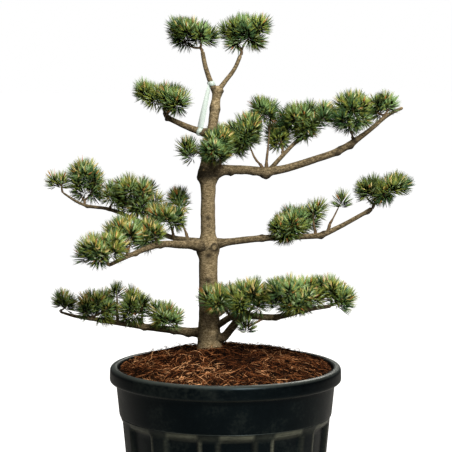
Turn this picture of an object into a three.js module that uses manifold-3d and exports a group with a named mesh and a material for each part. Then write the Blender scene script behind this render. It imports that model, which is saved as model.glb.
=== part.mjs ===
// A Japanese white pine of the short-needled Negishi kind, trained into layered pads, in a ribbed
// nursery pot. Millimetres, +Z up, the origin at the middle of the pot's flat underside.
// The trunk and its boughs are tapering limbs. Each pad of foliage is one solid: twigs that branch by a
// seeded rule from one stem, with bursts of needles fused on their tips.
import * as THREE from "three";
import { mergeVertices } from "three/addons/utils/BufferGeometryUtils.js";
import Module from "manifold-3d";

const wasm = await Module();
wasm.setup();

// Driving dimensions.
const GAP = 0.35; // between two pieces that touch on the real plant
const POT = {
  height: 430,
  rimRadius: 280,
  rimHeight: 37,
  rimInner: 261,
  bandTop: 265,
  bandBottom: 257,
  bandDrop: 116, // from the rim's top down to the band's lower edge
  bodyTop: 252.5,
  bodyBottom: 224,
  shoulder: 8, // height of the slope from the body out to the band
  lip: 8, // how far the rim's top edge is rounded
  bandWall: 6, // wall at the band
  innerSlope: [-20, 10], // foot and top of the inner slope, from the band's foot
  wall: 4,
  floor: 6,
  panels: 12,
  panelDepth: 9,
  panelAngle: 19, // degrees that one sunk panel spans
  panelTurn: 6, // degrees from the front to the first panel's middle
  panelFoot: 26, // height of the plain band under the panels
  panelHead: 6, // height of the plain band over them
  panelMouth: 30, // how far a panel's cutter reaches outwards
  panelSill: 12, // slope of a panel's lower ledge
  panelLedge: [8, 10], // slope of its upper ledge, outwards and inwards
  drains: 4,
  drainRadius: 9,
  drainRing: 150,
  drainSides: 8,
  sides: 36,
};
const SOIL = {
  edge: 421,
  crown: 459,
  heap: { at: [-30, -35], high: 18, wide: 60 }, // mulch heaped in front of the trunk
  flatTop: 3, // the mound falls from its crown as this power of the way out
  lumps: 5,
  waves: [31, 27, 44], // lengths of its slow waves
  phase: 1.3, // where the first wave starts
  slower: 0.6, // height of the slowest wave, where the others are 1
  even: 0.01, // share of the way in from the brim that stays level
  rings: [1, 0.85, 0.6, 0.36, 0.18, 0],
  clear: 2.2, // from the pot's inner wall
  brimDrop: 4, // height of the steep edge where the mulch meets the pot
  brimIn: [2, 3], // how far in from the brim that edge starts and ends
  seat: 450,
  seatRadius: 37,
  seatSides: 12,
  sides: 28,
};
const LIMB_SIDES = 6;
const CUTTER = 200; // across the blocks that cut the trunk's foot and its seat
const NEEDLE = 28; // length of a needle from its shoot
const LENGTHS = [0.94, 1.06]; // shortest and longest needles, in needles
const SLOPE = { flat: 0.75, lift: 0.35 }; // how steeply a shoot points up, and more so on the dome's top
const LOWER = -0.7; // height of every third shoot in the pad, where the dome's top is 1
const BURST = { upper: 55, lower: 125, above: 56, round: 94 }; // degrees from the shoot
const INSET = [0.85, 0.85, 1]; // how far inside its pad a shoot ends, in needles
const HUB = { far: 0.45, farAlone: 0.85, low: 0.6, hang: 0.6, above: 8 }; // where a pad's stem first forks
const JITTER = [8, 8, 6]; // how far a shoot strays from its even place
const TWIG = { stem: 4.4, share: 0.8, hub: 3.6, tip: 1.3 }; // radii, and a stem's share of its limb's
const FORK = { at: 0.55, thinner: 0.62, pathCost: 0.3, tries: 4 }; // where a twig leaves an earlier one
const CORE = 0.26; // a burst's core, as a share of its needles' reach
const SHORTER = [1, 0.86, 0.72]; // shares of its needles' length that a burst is tried with
const ROOM = 1; // how near another burst's middle a needle may end, as a share of its reach
const GOLDEN = 2.399963; // the turn between one shoot and the next, in radians
const TAPE = {
  wide: 13,
  thick: 1,
  loop: 2.4, // thickness of a loop with its folds
  leader: 0.3, // where the upper loop sits on its leader, 0 at the foot and 1 at the tip
  bough: 0.26, // where the lower loop sits on its bough
  off: 1, // between the straight run and the bark at its ends
  back: [3, 2], // how far behind the limbs' middle lines its ends lie
  longer: 3, // what the run is longer than the way between its ends
};
const COLOURS = {
  bark: 0x8b7558,
  needles: 0x5d7a56,
  pot: 0x23282b,
  soil: 0x5a3420,
  tape: 0xd6e6dc,
};

// The limbs, each as [x, y, z, radius] at its bends, from where it leaves its parent's middle line.
const LIMBS = {
  trunk: {
    sides: 10,
    path: [
      [-38, 0, 446, 34],
      [-39, 0, 492, 28],
      [-39, 0, 540, 25.5],
      [-41, 0, 600, 23.5],
      [-41, 0, 690, 22.6],
      [-41, 0, 722, 25.5],
      [-42, 0, 752, 17.5],
      [-42, 0, 826, 17],
      [-42, 0, 868, 18],
      [-42, 0, 898, 23.5],
      [-40, 0, 930, 17.5],
      [-37, 0, 960, 14.5],
      [-31, 0, 1006, 12],
      [-25, 0, 1050, 12.5],
      [-22, 0, 1074, 10],
      [-19, 0, 1093, 13.5],
      [-19, 0, 1104, 8],
    ],
  },
  leader_left: {
    on: "trunk",
    path: [[-22, 0, 1088, 7], [-35, -2, 1112, 6.4], [-48, -4, 1151, 5.6], [-55, -5, 1186, 4.8]],
  },
  leader_right: {
    on: "trunk",
    path: [[-19, 0, 1090, 6], [0, 4, 1115, 5.4], [21, 8, 1143, 4.8], [36, 10, 1176, 4.6]],
  },
  bough_upper_left: {
    on: "trunk",
    path: [[-33, 0, 988, 10], [-68, 8, 997, 8.4], [-100, 14, 1009, 7], [-143, 20, 1029, 6]],
    knobs: [[-143, 20, 1027, 9]],
  },
  bough_upper_right: {
    on: "trunk",
    path: [
      [-40, 0, 896, 15],
      [1, 0, 903, 11.5],
      [47, 10, 902, 10.6],
      [95, 15, 898, 11],
      [141, 20, 904, 9.6],
      [208, 25, 924, 8.8],
      [271, 30, 946, 8.4],
      [302, 30, 964, 7.6],
      [347, 30, 997, 5.6],
      [391, 35, 1033, 4.8],
      [426, 35, 1050, 3.4],
    ],
    knobs: [[97, 14, 893, 14], [272, 30, 947, 11], [304, 29, 965, 12]],
  },
  limb_upper_right_inner: {
    on: "bough_upper_right",
    path: [[104, 18, 899, 5.6], [140, 30, 938, 5], [172, 40, 968, 4.4], [214, 45, 988, 3.4]],
  },
  bough_mid_left_back: {
    on: "trunk",
    path: [
      [-40, 12, 725, 9.5],
      [-70, 22, 729, 8],
      [-98, 34, 731, 7],
      [-135, 60, 735, 6.3],
      [-185, 105, 754, 5.6],
      [-236, 135, 776, 5],
      [-291, 155, 794, 4.4],
      [-345, 165, 801, 3.8],
      [-374, 170, 813, 3.2],
      [-404, 170, 833, 2.4],
    ],
  },
  bough_mid_left_front: {
    on: "trunk",
    path: [
      [-42, -2, 716, 15],
      [-72, -14, 724, 11.5],
      [-104, -46, 728, 9.6],
      [-154, -92, 734, 7.6],
      [-222, -155, 716, 5.6],
      [-268, -195, 698, 4],
    ],
  },
  bough_mid_right: {
    on: "trunk",
    path: [
      [-38, 0, 722, 13],
      [1, 5, 728, 9],
      [88, 20, 736, 8],
      [141, 25, 738, 7.4],
      [190, 30, 739, 7],
      [231, 30, 743, 7],
      [280, 40, 764, 5.8],
      [356, 50, 805, 4.6],
    ],
    knobs: [[232, 30, 742, 8.4], [345, 48, 802, 7.4]],
  },
  bough_low_left: {
    on: "trunk",
    path: [
      [-40, 0, 508, 13],
      [-78, 8, 509, 10.5],
      [-127, 20, 512, 9],
      [-198, 30, 519, 7.8],
      [-304, 50, 532, 6],
      [-368, 60, 540, 4],
      [-404, 62, 550, 2.8],
    ],
  },
  bough_low_right: {
    on: "trunk",
    path: [
      [-34, -4, 503, 12],
      [-7, -13, 500, 10.4],
      [16, -30, 527, 9.6],
      [39, -50, 555, 8.8],
      [119, -90, 561, 7.2],
      [187, -110, 581, 5.8],
      [248, -120, 592, 4],
    ],
  },
  bough_low_right_fork: {
    on: "trunk",
    also: ["bough_low_right"],
    path: [[-38, 0, 517, 9.5], [-12, -10, 533, 8.4], [12, -26, 550, 7.4], [38, -52, 556, 6.8]],
  },
  bough_low_back: {
    on: "trunk",
    path: [[-40, 4, 532, 9], [-33, 60, 533, 6.8], [-12, 118, 538, 5.4], [4, 158, 543, 4.4]],
  },
  bough_high_back: {
    on: "trunk",
    path: [[-42, 0, 900, 10], [-34, 48, 906, 6.4], [-6, 108, 920, 5.2], [12, 148, 930, 4.2]],
  },
  limb_mid_right_back: {
    on: "bough_mid_right",
    path: [[88, 20, 736, 6.4], [112, 62, 733, 5.4], [138, 104, 732, 4.8], [162, 134, 734, 4.2]],
  },
};

// The pads of foliage: the limb that each grows on, how far along it (0 to 1), its middle and half sizes,
// how much it rises towards the right and how many shoots it has. Front is -Y.
const PADS = {
  pad_top_left: {
    on: "leader_left",
    at: 1,
    middle: [-79, 0, 1230],
    half: [72, 62, 37],
    rise: -0.1,
    shoots: 9,
  },
  pad_top_right: {
    on: "leader_right",
    at: 1,
    middle: [49, 10, 1233],
    half: [69, 62, 43],
    rise: 0.15,
    shoots: 10,
  },
  pad_upper_left: {
    on: "bough_upper_left",
    at: 1,
    middle: [-163, 40, 1085],
    half: [72, 56, 31],
    rise: -0.05,
    shoots: 6,
  },
  pad_upper_front: {
    on: "bough_upper_left",
    at: 1,
    middle: [-118, -16, 1068],
    half: [44, 44, 34],
    shoots: 4,
  },
  pad_crown_front: {
    on: "bough_upper_right",
    at: 0.075,
    middle: [-23, -62, 970],
    half: [53, 60, 40],
    rise: 0.2,
    shoots: 7,
  },
  pad_crown_inner: {
    on: "bough_upper_right",
    at: 0.29,
    middle: [46, -18, 1000],
    half: [54, 52, 43],
    rise: 0.45,
    shoots: 7,
  },
  pad_crown_sprig: { on: "trunk", at: 0.61, middle: [-89, -10, 955], half: [33, 30, 28], shoots: 2 },
  pad_crown_spire: {
    on: "bough_upper_right",
    at: 0.31,
    middle: [94, 2, 1051],
    half: [42, 40, 30],
    shoots: 4,
  },
  pad_right_inner: {
    on: "limb_upper_right_inner",
    at: 1,
    middle: [196, 44, 1023],
    half: [82, 60, 47],
    rise: 0.15,
    shoots: 10,
  },
  pad_right_middle: {
    on: "bough_upper_right",
    at: 0.71,
    middle: [301, 22, 1045],
    half: [62, 58, 52],
    rise: 0.1,
    shoots: 9,
  },
  pad_right_tip: {
    on: "bough_upper_right",
    at: 0.88,
    middle: [376, 42, 1055],
    half: [51, 46, 37],
    rise: 0.05,
    shoots: 5,
  },
  pad_crown_back: { on: "bough_high_back", at: 1, middle: [16, 186, 968], half: [74, 62, 44], shoots: 6 },
  pad_back_tip: {
    on: "bough_mid_left_back",
    at: 1,
    middle: [-417, 170, 861],
    half: [36, 36, 28],
    shoots: 2,
  },
  pad_back_outer: {
    on: "bough_mid_left_back",
    at: 0.8,
    middle: [-346, 178, 866],
    half: [56, 50, 54],
    rise: -0.1,
    shoots: 8,
  },
  pad_back_small: {
    on: "bough_mid_left_back",
    at: 0.66,
    middle: [-275, 150, 834],
    half: [38, 42, 34],
    rise: -0.2,
    shoots: 3,
  },
  pad_back_inner: {
    on: "bough_mid_left_back",
    at: 0.47,
    middle: [-220, 112, 834],
    half: [72, 56, 51],
    rise: -0.1,
    shoots: 8,
  },
  pad_back_sprig: {
    on: "bough_mid_left_back",
    at: 0.2,
    middle: [-113, 66, 829],
    half: [34, 36, 31],
    rise: -0.15,
    shoots: 3,
  },
  pad_back_low: {
    on: "bough_mid_left_back",
    at: 0.3,
    middle: [-145, 20, 792],
    half: [62, 44, 32],
    rise: -0.1,
    shoots: 6,
  },
  pad_front_tip: {
    on: "bough_mid_left_front",
    at: 1,
    middle: [-287, -202, 738],
    half: [69, 58, 40],
    rise: 0.15,
    shoots: 9,
  },
  pad_front_outer: {
    on: "bough_mid_left_front",
    at: 0.82,
    middle: [-235, -128, 768],
    half: [59, 54, 43],
    rise: 0.15,
    shoots: 7,
  },
  pad_front_inner: {
    on: "bough_mid_left_front",
    at: 0.62,
    middle: [-177, -92, 763],
    half: [50, 48, 38],
    shoots: 5,
  },
  pad_mid_right_inner: {
    on: "bough_mid_right",
    at: 0.5,
    middle: [151, 12, 769],
    half: [60, 58, 37],
    rise: 0.3,
    shoots: 8,
  },
  pad_mid_right_upper: {
    on: "bough_mid_right",
    at: 0.67,
    middle: [212, 24, 802],
    half: [32, 34, 30],
    rise: 0.2,
    shoots: 2,
  },
  pad_mid_right_sprig: {
    on: "bough_mid_right",
    at: 0.74,
    middle: [279, 30, 826],
    half: [28, 28, 27],
    shoots: 1,
  },
  pad_mid_right_tip: {
    on: "bough_mid_right",
    at: 1,
    middle: [378, 50, 857],
    half: [78, 58, 34],
    rise: 0.16,
    shoots: 9,
  },
  pad_mid_right_back: {
    on: "limb_mid_right_back",
    at: 1,
    middle: [180, 172, 766],
    half: [62, 52, 38],
    shoots: 6,
  },
  pad_low_left_tip: { on: "bough_low_left", at: 1, middle: [-397, 66, 573], half: [38, 36, 36], shoots: 3 },
  pad_low_left_spire: {
    on: "bough_low_left",
    at: 0.6,
    middle: [-268, 36, 604],
    half: [28, 28, 27],
    shoots: 1,
  },
  pad_low_left_outer: {
    on: "bough_low_left",
    at: 0.72,
    middle: [-313, 52, 567],
    half: [60, 52, 46],
    shoots: 7,
  },
  pad_low_left_middle: {
    on: "bough_low_left",
    at: 0.5,
    middle: [-224, 26, 571],
    half: [51, 48, 45],
    shoots: 5,
  },
  pad_low_left_inner: {
    on: "bough_low_left",
    at: 0.28,
    middle: [-143, 8, 550],
    half: [55, 46, 36],
    rise: -0.4,
    shoots: 6,
  },
  pad_low_right_inner: {
    on: "bough_low_right_fork",
    at: 0.7,
    middle: [-24, -78, 608],
    half: [48, 44, 33],
    rise: 0.1,
    shoots: 4,
  },
  pad_low_right_middle: {
    on: "bough_low_right",
    at: 0.54,
    middle: [58, -78, 611],
    half: [65, 60, 45],
    rise: 0.08,
    shoots: 8,
  },
  pad_low_right_outer: {
    on: "bough_low_right",
    at: 0.78,
    middle: [164, -112, 620],
    half: [80, 64, 49],
    rise: 0.05,
    shoots: 10,
  },
  pad_low_right_tip: {
    on: "bough_low_right",
    at: 1,
    middle: [253, -122, 623],
    half: [56, 54, 42],
    rise: -0.5,
    shoots: 7,
  },
  pad_low_right_sprig: {
    on: "bough_low_right",
    at: 0.62,
    middle: [50, -82, 536],
    half: [26, 26, 20],
    shoots: 1,
  },
  pad_low_back: { on: "bough_low_back", at: 1, middle: [16, 192, 570], half: [74, 62, 38], shoots: 5 },
  pad_crown_middle: {
    on: "limb_upper_right_inner",
    at: 0.33,
    middle: [127, 60, 986],
    half: [48, 44, 36],
    shoots: 4,
  },
};

// Small helpers.
const vector = (p) => new THREE.Vector3(p[0], p[1], p[2]);

// The same numbers each time from one seed, between 0 and 1.
function randomFrom(seed) {
  let state = (seed * 7919 + 12345) >>> 0;
  return () => {
    state = (Math.imul(state, 1664525) + 1013904223) >>> 0;
    return state / 4294967296;
  };
}

// A closed geometry as a solid that can be joined and cut.
function solidOf(geometry) {
  const bare = new THREE.BufferGeometry();
  bare.setAttribute("position", geometry.getAttribute("position"));
  bare.setIndex(geometry.getIndex());
  const merged = mergeVertices(bare, 1e-3);
  return new wasm.Manifold(
    new wasm.Mesh({
      numProp: 3,
      vertProperties: new Float32Array(merged.getAttribute("position").array),
      triVerts: new Uint32Array(merged.getIndex().array),
    }),
  );
}

// A solid back as a geometry with flat faces.
function geometryOf(solid) {
  const mesh = solid.getMesh();
  const geometry = new THREE.BufferGeometry();
  geometry.setAttribute("position", new THREE.BufferAttribute(mesh.vertProperties, 3));
  geometry.setIndex(new THREE.BufferAttribute(mesh.triVerts, 1));
  return geometry;
}

// The largest body of a solid: what a cut left loose is dropped.
const largest = (solid) => solid.decompose().sort((a, b) => b.volume() - a.volume())[0];

// Limbs.
// A limb's middle line and radius at t, from 0 at its foot to 1 at its tip.
function limbAt(spec, t) {
  const curve = new THREE.CatmullRomCurve3(spec.path.map(vector), false, "centripetal");
  const place = t * (spec.path.length - 1);
  const i = Math.min(Math.floor(place), spec.path.length - 2);
  const radius = THREE.MathUtils.lerp(spec.path[i][3], spec.path[i + 1][3], place - i);
  return { point: curve.getPoint(t), tangent: curve.getTangent(t), radius };
}

// A tapering limb: a cylinder whose rings are carried along the middle line, grown by some millimetres
// where it is used to cut room for itself. Knobs are old pruning scars.
function limb(spec, grown = 0) {
  const sides = spec.sides ?? LIMB_SIDES;
  const steps = spec.path.length - 1;
  const rings = [];
  let normal = new THREE.Vector3(0.3, 1, 0.2);
  for (let i = 0; i <= steps; i++) {
    const at = limbAt(spec, i / steps);
    normal = normal.clone().addScaledVector(at.tangent, -normal.dot(at.tangent)).normalize();
    rings.push({ ...at, normal, side: at.tangent.clone().cross(normal) });
  }
  const geometry = new THREE.CylinderGeometry(1, 1, 1, sides, steps);
  const position = geometry.getAttribute("position");
  for (let v = 0; v < position.count; v++) {
    const ring = rings[Math.round((position.getY(v) + 0.5) * steps)];
    const reach = ring.radius + grown;
    const place = ring.point
      .clone()
      .addScaledVector(ring.side, position.getX(v) * reach)
      .addScaledVector(ring.normal, position.getZ(v) * reach);
    position.setXYZ(v, place.x, place.y, place.z);
  }
  let solid = solidOf(geometry);
  if (solid.volume() < 0) throw new Error("a limb is inside out");
  for (const [x, y, z, radius] of spec.knobs ?? []) {
    const knob = new THREE.IcosahedronGeometry(radius + grown, 0);
    solid = solid.add(solidOf(knob.translate(x, y, z)));
  }
  return solid;
}

// Foliage.
// One burst of needles at the tip of a shoot: a slim three-sided core with up to seven toothed points, one
// ahead, three above and three round the side, none towards the twig. A point that would run into the
// next burst is left out.
function burst(tip, reach, neighbours) {
  const core = reach * CORE;
  const turn = new THREE.Quaternion().setFromUnitVectors(new THREE.Vector3(0, 0, 1), tip.direction);
  turn.multiply(new THREE.Quaternion().setFromAxisAngle(new THREE.Vector3(0, 0, 1), tip.spin));
  const points = [];
  const put = (polar, around, length) => {
    const [a, b] = [THREE.MathUtils.degToRad(polar), THREE.MathUtils.degToRad(around)];
    const out = new THREE.Vector3(Math.sin(a) * Math.cos(b), Math.sin(a) * Math.sin(b), Math.cos(a));
    points.push(out.multiplyScalar(length).applyQuaternion(turn).add(tip.place));
    return points.length - 1;
  };
  const faces = [];
  const point = (a, b, c, polar, around) => {
    const end = put(polar, around, reach);
    if (neighbours.some((n) => n.place.distanceTo(points[end]) < ROOM * reach)) {
      points.pop();
      faces.push([a, b, c]);
      return;
    }
    faces.push([a, b, end], [b, c, end], [c, a, end]);
  };
  const upper = [0, 120, 240].map((a) => put(BURST.upper, a, core));
  const lower = [60, 180, 300].map((a) => put(BURST.lower, a, core));
  faces.push([lower[0], lower[2], lower[1]]);
  point(upper[0], upper[1], upper[2], 0, 0);
  for (let i = 0; i < 3; i++) {
    const j = (i + 1) % 3;
    point(upper[j], upper[i], lower[i], BURST.above, 120 * i + 60);
    point(upper[j], lower[i], lower[j], BURST.round, 120 * j);
  }
  const geometry = new THREE.BufferGeometry().setFromPoints(points);
  geometry.setIndex(faces.flat());
  return solidOf(geometry);
}

// A straight three-sided twig that tapers from one point to another, its ends sunk into what it joins.
function twig(from, to, radiusFrom, radiusTo) {
  const way = to.clone().sub(from).normalize();
  const turn = new THREE.Quaternion().setFromUnitVectors(new THREE.Vector3(0, 0, 1), way);
  const corner = (middle, radius, i) => {
    const a = (i * Math.PI * 2) / 3;
    const out = new THREE.Vector3(Math.cos(a) * radius, Math.sin(a) * radius, 0);
    return out.applyQuaternion(turn).add(middle);
  };
  const points = [0, 1, 2].map((i) => corner(from, radiusFrom, i));
  points.push(...[0, 1, 2].map((i) => corner(to, radiusTo, i)));
  const geometry = new THREE.BufferGeometry().setFromPoints(points);
  geometry.setIndex([0, 2, 1, 3, 4, 5, 0, 1, 4, 0, 4, 3, 1, 2, 5, 1, 5, 4, 2, 0, 3, 2, 3, 5]);
  return solidOf(geometry);
}

// The seeded rule. Shoots are spread over the pad by the golden turn, the upper ones over its dome and
// every third one in its lower edge, and come back with the nearest to the stem's first fork in front.
function grow(pad, seed) {
  const next = randomFrom(seed);
  const middle = vector(pad.middle);
  const [wide, deep, high] = pad.half;
  const foot = limbAt(LIMBS[pad.on], pad.at);
  const spread = pad.half.map((h, i) => Math.max(h - NEEDLE * INSET[i], 0));
  const hub = foot.point.clone().lerp(middle, pad.shoots === 1 ? HUB.farAlone : HUB.far);
  hub.z = Math.max(Math.min(hub.z, middle.z - high * HUB.low), foot.point.z + foot.radius + HUB.above);
  if (middle.z < foot.point.z) hub.copy(foot.point).lerp(middle, HUB.hang);
  const tips = [];
  for (let k = 0; k < pad.shoots; k++) {
    const ring = pad.shoots === 1 ? 0 : Math.sqrt((k + 0.5) / (pad.shoots - 0.5));
    const turn = k * GOLDEN + seed;
    const lift = k % 3 === 2 ? LOWER : Math.sqrt(1 - ring * ring);
    const out = new THREE.Vector3(
      ring * Math.cos(turn) * spread[0] + (next() - 0.5) * JITTER[0],
      ring * Math.sin(turn) * spread[1] + (next() - 0.5) * JITTER[1],
      lift * spread[2] + (next() - 0.5) * JITTER[2],
    );
    const steep = SLOPE.flat + SLOPE.lift * lift;
    const direction = new THREE.Vector3(out.x / wide, out.y / deep, steep).normalize();
    out.z += (pad.rise ?? 0) * out.x;
    const place = middle.clone().add(out);
    const spin = next() * Math.PI;
    const reach = NEEDLE * THREE.MathUtils.lerp(...LENGTHS, next());
    tips.push({ place, direction, spin, reach });
  }
  tips.sort((a, b) => a.place.distanceTo(hub) - b.place.distanceTo(hub));
  return { foot, hub, tips };
}

// One pad as a solid. Each shoot, the nearest first, joins the nearest point of the twigs so far by a
// straight twig, which later shoots may join beyond its middle. Where that twig would touch a limb or
// another pad, the next nearest points are tried, then shorter needles, and then the shoot is skipped.
function padSolid(pad, seed, limbsNear, others) {
  const { foot, hub, tips } = grow(pad, seed);
  const stemRadius = Math.min(TWIG.stem, foot.radius * TWIG.share);
  const start = foot.point.clone();
  if (pad.at === 1) start.addScaledVector(foot.tangent, GAP);
  let solid = twig(start, hub, stemRadius, TWIG.hub).subtract(limbsNear);
  const free = (s) => limbsNear.intersect(s).isEmpty() && others.every((o) => o.intersect(s).isEmpty());
  const joints = [{ place: hub, path: 0, radius: TWIG.hub }];
  for (const tip of tips) {
    const cost = (j) => j.place.distanceTo(tip.place) + FORK.pathCost * j.path;
    const radiusFrom = (j) => Math.max(j.radius * FORK.thinner, TWIG.tip);
    const near = [...joints].sort((a, b) => cost(a) - cost(b)).slice(0, FORK.tries);
    const from = near.find((j) => free(twig(j.place, tip.place, radiusFrom(j), TWIG.tip)));
    if (!from) continue;
    const neighbours = tips.filter((t) => t !== tip);
    const needles = SHORTER.map((share) => burst(tip, tip.reach * share, neighbours)).find(free);
    if (!needles) continue;
    solid = solid.add(twig(from.place, tip.place, radiusFrom(from), TWIG.tip)).add(needles);
    const joint = from.place.clone().lerp(tip.place, FORK.at);
    const radius = THREE.MathUtils.lerp(radiusFrom(from), TWIG.tip, FORK.at);
    joints.push({ place: joint, radius, path: from.path + from.place.distanceTo(joint) });
  }
  return largest(solid);
}

// Pot and soil.
// The radius of the pot's inner wall at a height, behind the sunk panels.
function innerWall(z) {
  const top = POT.height - POT.bandDrop;
  const outer = THREE.MathUtils.mapLinear(z, 0, top, POT.bodyBottom, POT.bodyTop);
  return outer - POT.panelDepth - POT.wall;
}

// The pot's wall: a turned profile with a rolled rim and a smooth band, and the sunk panels cut below.
function potSolid() {
  const { height, floor } = POT;
  const bandFoot = height - POT.bandDrop;
  const bandInner = POT.bandTop - POT.bandWall;
  const [slopeFoot, slopeTop] = POT.innerSlope.map((z) => bandFoot + z);
  const outline = [
    [0, 0],
    [POT.bodyBottom, 0],
    [POT.bodyTop, bandFoot - POT.shoulder],
    [POT.bandBottom, bandFoot],
    [POT.bandTop, height - POT.rimHeight],
    [POT.rimRadius, height - POT.rimHeight],
    [POT.rimRadius, height - POT.lip],
    [POT.rimRadius - POT.lip, height],
    [POT.rimInner, height],
    [bandInner, slopeTop],
    [innerWall(slopeFoot), slopeFoot],
    [innerWall(floor), floor],
    [0, floor],
  ];
  let solid = solidOf(lathe(outline, POT.sides));
  const lean = Math.atan2(POT.bodyTop - POT.bodyBottom, bandFoot);
  const head = bandFoot - POT.panelHead;
  const [ledgeOut, ledgeIn] = POT.panelLedge;
  const across = 2 * POT.bodyTop * Math.tan(THREE.MathUtils.degToRad(POT.panelAngle / 2));
  for (let i = 0; i < POT.panels; i++) {
    // A sunk panel: wider at its mouth, with a sloping ledge above, leaning with the wall.
    const side = new THREE.Shape([
      new THREE.Vector2(0, POT.panelFoot),
      new THREE.Vector2(POT.panelMouth, POT.panelFoot - POT.panelSill),
      new THREE.Vector2(POT.panelMouth, head + ledgeOut),
      new THREE.Vector2(0, head - ledgeIn),
    ]);
    const cutter = new THREE.ExtrudeGeometry(side, { depth: across, bevelEnabled: false });
    cutter.translate(0, 0, -across / 2).rotateX(Math.PI / 2);
    cutter.applyMatrix4(new THREE.Matrix4().makeRotationY(lean));
    cutter.translate(POT.bodyBottom - POT.panelDepth, 0, 0);
    cutter.rotateZ(THREE.MathUtils.degToRad(-90 + POT.panelTurn + (360 / POT.panels) * i));
    solid = solid.subtract(solidOf(cutter));
  }
  for (let i = 0; i < POT.drains; i++) {
    const hole = new THREE.CylinderGeometry(POT.drainRadius, POT.drainRadius, 4 * floor, POT.drainSides);
    hole.rotateX(Math.PI / 2).translate(POT.drainRing, 0, 0).rotateZ(((2 * Math.PI) / POT.drains) * i);
    solid = solid.subtract(solidOf(hole));
  }
  return largest(solid);
}

// A profile of [radius, height] turned about Z.
function lathe(outline, sides) {
  const points = outline.map(([r, z]) => new THREE.Vector2(r, z));
  return new THREE.LatheGeometry(points, sides).rotateX(Math.PI / 2);
}

// The root ball with its mulch: it fills the pot, mounds up to the trunk and has a flat seat under it.
function soilSolid() {
  const brim = POT.rimInner - SOIL.clear;
  const [steepFoot, steepHead] = SOIL.brimIn;
  const [slopeFoot, slopeTop] = POT.innerSlope.map((z) => POT.height - POT.bandDrop + z);
  const inner = (z) => innerWall(z) - SOIL.clear;
  const mound = (s) => SOIL.crown - (SOIL.crown - SOIL.edge) * s ** SOIL.flatTop;
  const outline = [
    [0, POT.floor + GAP],
    [inner(POT.floor), POT.floor + GAP],
    [inner(slopeFoot), slopeFoot + GAP],
    [POT.bandTop - POT.bandWall - SOIL.clear, slopeTop + GAP],
    [brim - steepFoot, SOIL.edge - SOIL.brimDrop],
    ...SOIL.rings.map((s) => [s * (brim - steepHead), mound(s)]),
  ];
  const geometry = lathe(outline, SOIL.sides);
  const position = geometry.getAttribute("position");
  const [a, b, c] = SOIL.waves;
  const { at, high, wide } = SOIL.heap;
  for (let v = 0; v < position.count; v++) {
    const [x, y, z] = [position.getX(v), position.getY(v), position.getZ(v)];
    const inwards = 1 - Math.hypot(x, y) / (brim - steepHead);
    if (z < SOIL.edge || inwards < SOIL.even) continue;
    const slow = SOIL.slower * Math.sin((x + 2 * y) / c);
    const wave = Math.sin(x / a + SOIL.phase) * Math.cos(y / b) + slow;
    const heap = high * Math.exp(-(((x - at[0]) / wide) ** 2) - ((y - at[1]) / wide) ** 2);
    position.setZ(v, z + SOIL.lumps * wave * Math.min(1, 2 * inwards) + heap);
  }
  const [x, y] = LIMBS.trunk.path[0];
  const well = new THREE.CylinderGeometry(SOIL.seatRadius, SOIL.seatRadius, CUTTER, SOIL.seatSides);
  well.rotateX(Math.PI / 2).translate(x, y, SOIL.seat + CUTTER / 2);
  return largest(solidOf(geometry).subtract(solidOf(well)));
}

// The nursery's training tape.
// A flat tape, looped round the left leader's foot, that holds the upper left bough.
function tapeSolid(clearLimbs) {
  const top = limbAt(LIMBS.leader_left, TAPE.leader);
  const low = limbAt(LIMBS.bough_upper_left, TAPE.bough);
  const loop = (at) => {
    const radius = at.radius + TAPE.loop;
    const ring = new THREE.CylinderGeometry(radius, radius, TAPE.wide, LIMB_SIDES);
    const up = new THREE.Vector3(0, 1, 0);
    ring.applyQuaternion(new THREE.Quaternion().setFromUnitVectors(up, at.tangent));
    return solidOf(ring.translate(at.point.x, at.point.y, at.point.z));
  };
  const from = top.point.clone().add(new THREE.Vector3(-top.radius - TAPE.off, TAPE.back[0], 0));
  const to = low.point.clone().add(new THREE.Vector3(0, TAPE.back[1], low.radius + TAPE.off));
  const way = to.clone().sub(from);
  const strip = new THREE.BoxGeometry(TAPE.wide, TAPE.thick, way.length() + TAPE.longer);
  strip.applyQuaternion(
    new THREE.Quaternion().setFromUnitVectors(new THREE.Vector3(0, 0, -1), way.clone().normalize()),
  );
  const middle = from.clone().add(to).multiplyScalar(0.5);
  let solid = loop(top).add(loop(low)).add(solidOf(strip.translate(middle.x, middle.y, middle.z)));
  for (const clear of clearLimbs) solid = solid.subtract(clear);
  return largest(solid);
}

// Assembly.
const plant = new THREE.Group();
const material = (colour, roughness) =>
  new THREE.MeshStandardMaterial({ color: colour, roughness, metalness: 0 });
const FINISH = {
  bark: material(COLOURS.bark, 0.85),
  needles: material(COLOURS.needles, 0.6),
  pot: material(COLOURS.pot, 0.45),
  soil: material(COLOURS.soil, 0.95),
  tape: material(COLOURS.tape, 0.4),
};
function place(name, solid, finish) {
  const mesh = new THREE.Mesh(geometryOf(solid), FINISH[finish]);
  mesh.name = name;
  plant.add(mesh);
}

const clear = {};
const limbs = {};
for (const [name, spec] of Object.entries(LIMBS)) {
  let solid = limb(spec);
  for (const parent of [spec.on, ...(spec.also ?? [])]) if (parent) solid = solid.subtract(clear[parent]);
  clear[name] = limb(spec, GAP);
  limbs[name] = largest(solid);
}
// The trunk ends in a flat cut at the soil, where it stands on the root ball's seat.
const below = new THREE.BoxGeometry(CUTTER, CUTTER, CUTTER).translate(0, 0, SOIL.seat + GAP - CUTTER / 2);
limbs.trunk = largest(limbs.trunk.subtract(solidOf(below)));
// Limbs that leave the trunk at one whorl are cut clear of those before them.
const names = Object.keys(LIMBS);
names.forEach((name, i) => {
  for (const earlier of names.slice(1, i)) {
    if (limbs[earlier].intersect(limbs[name]).isEmpty()) continue;
    limbs[name] = largest(limbs[name].subtract(clear[earlier]));
  }
  place(name, limbs[name], "bark");
});

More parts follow.
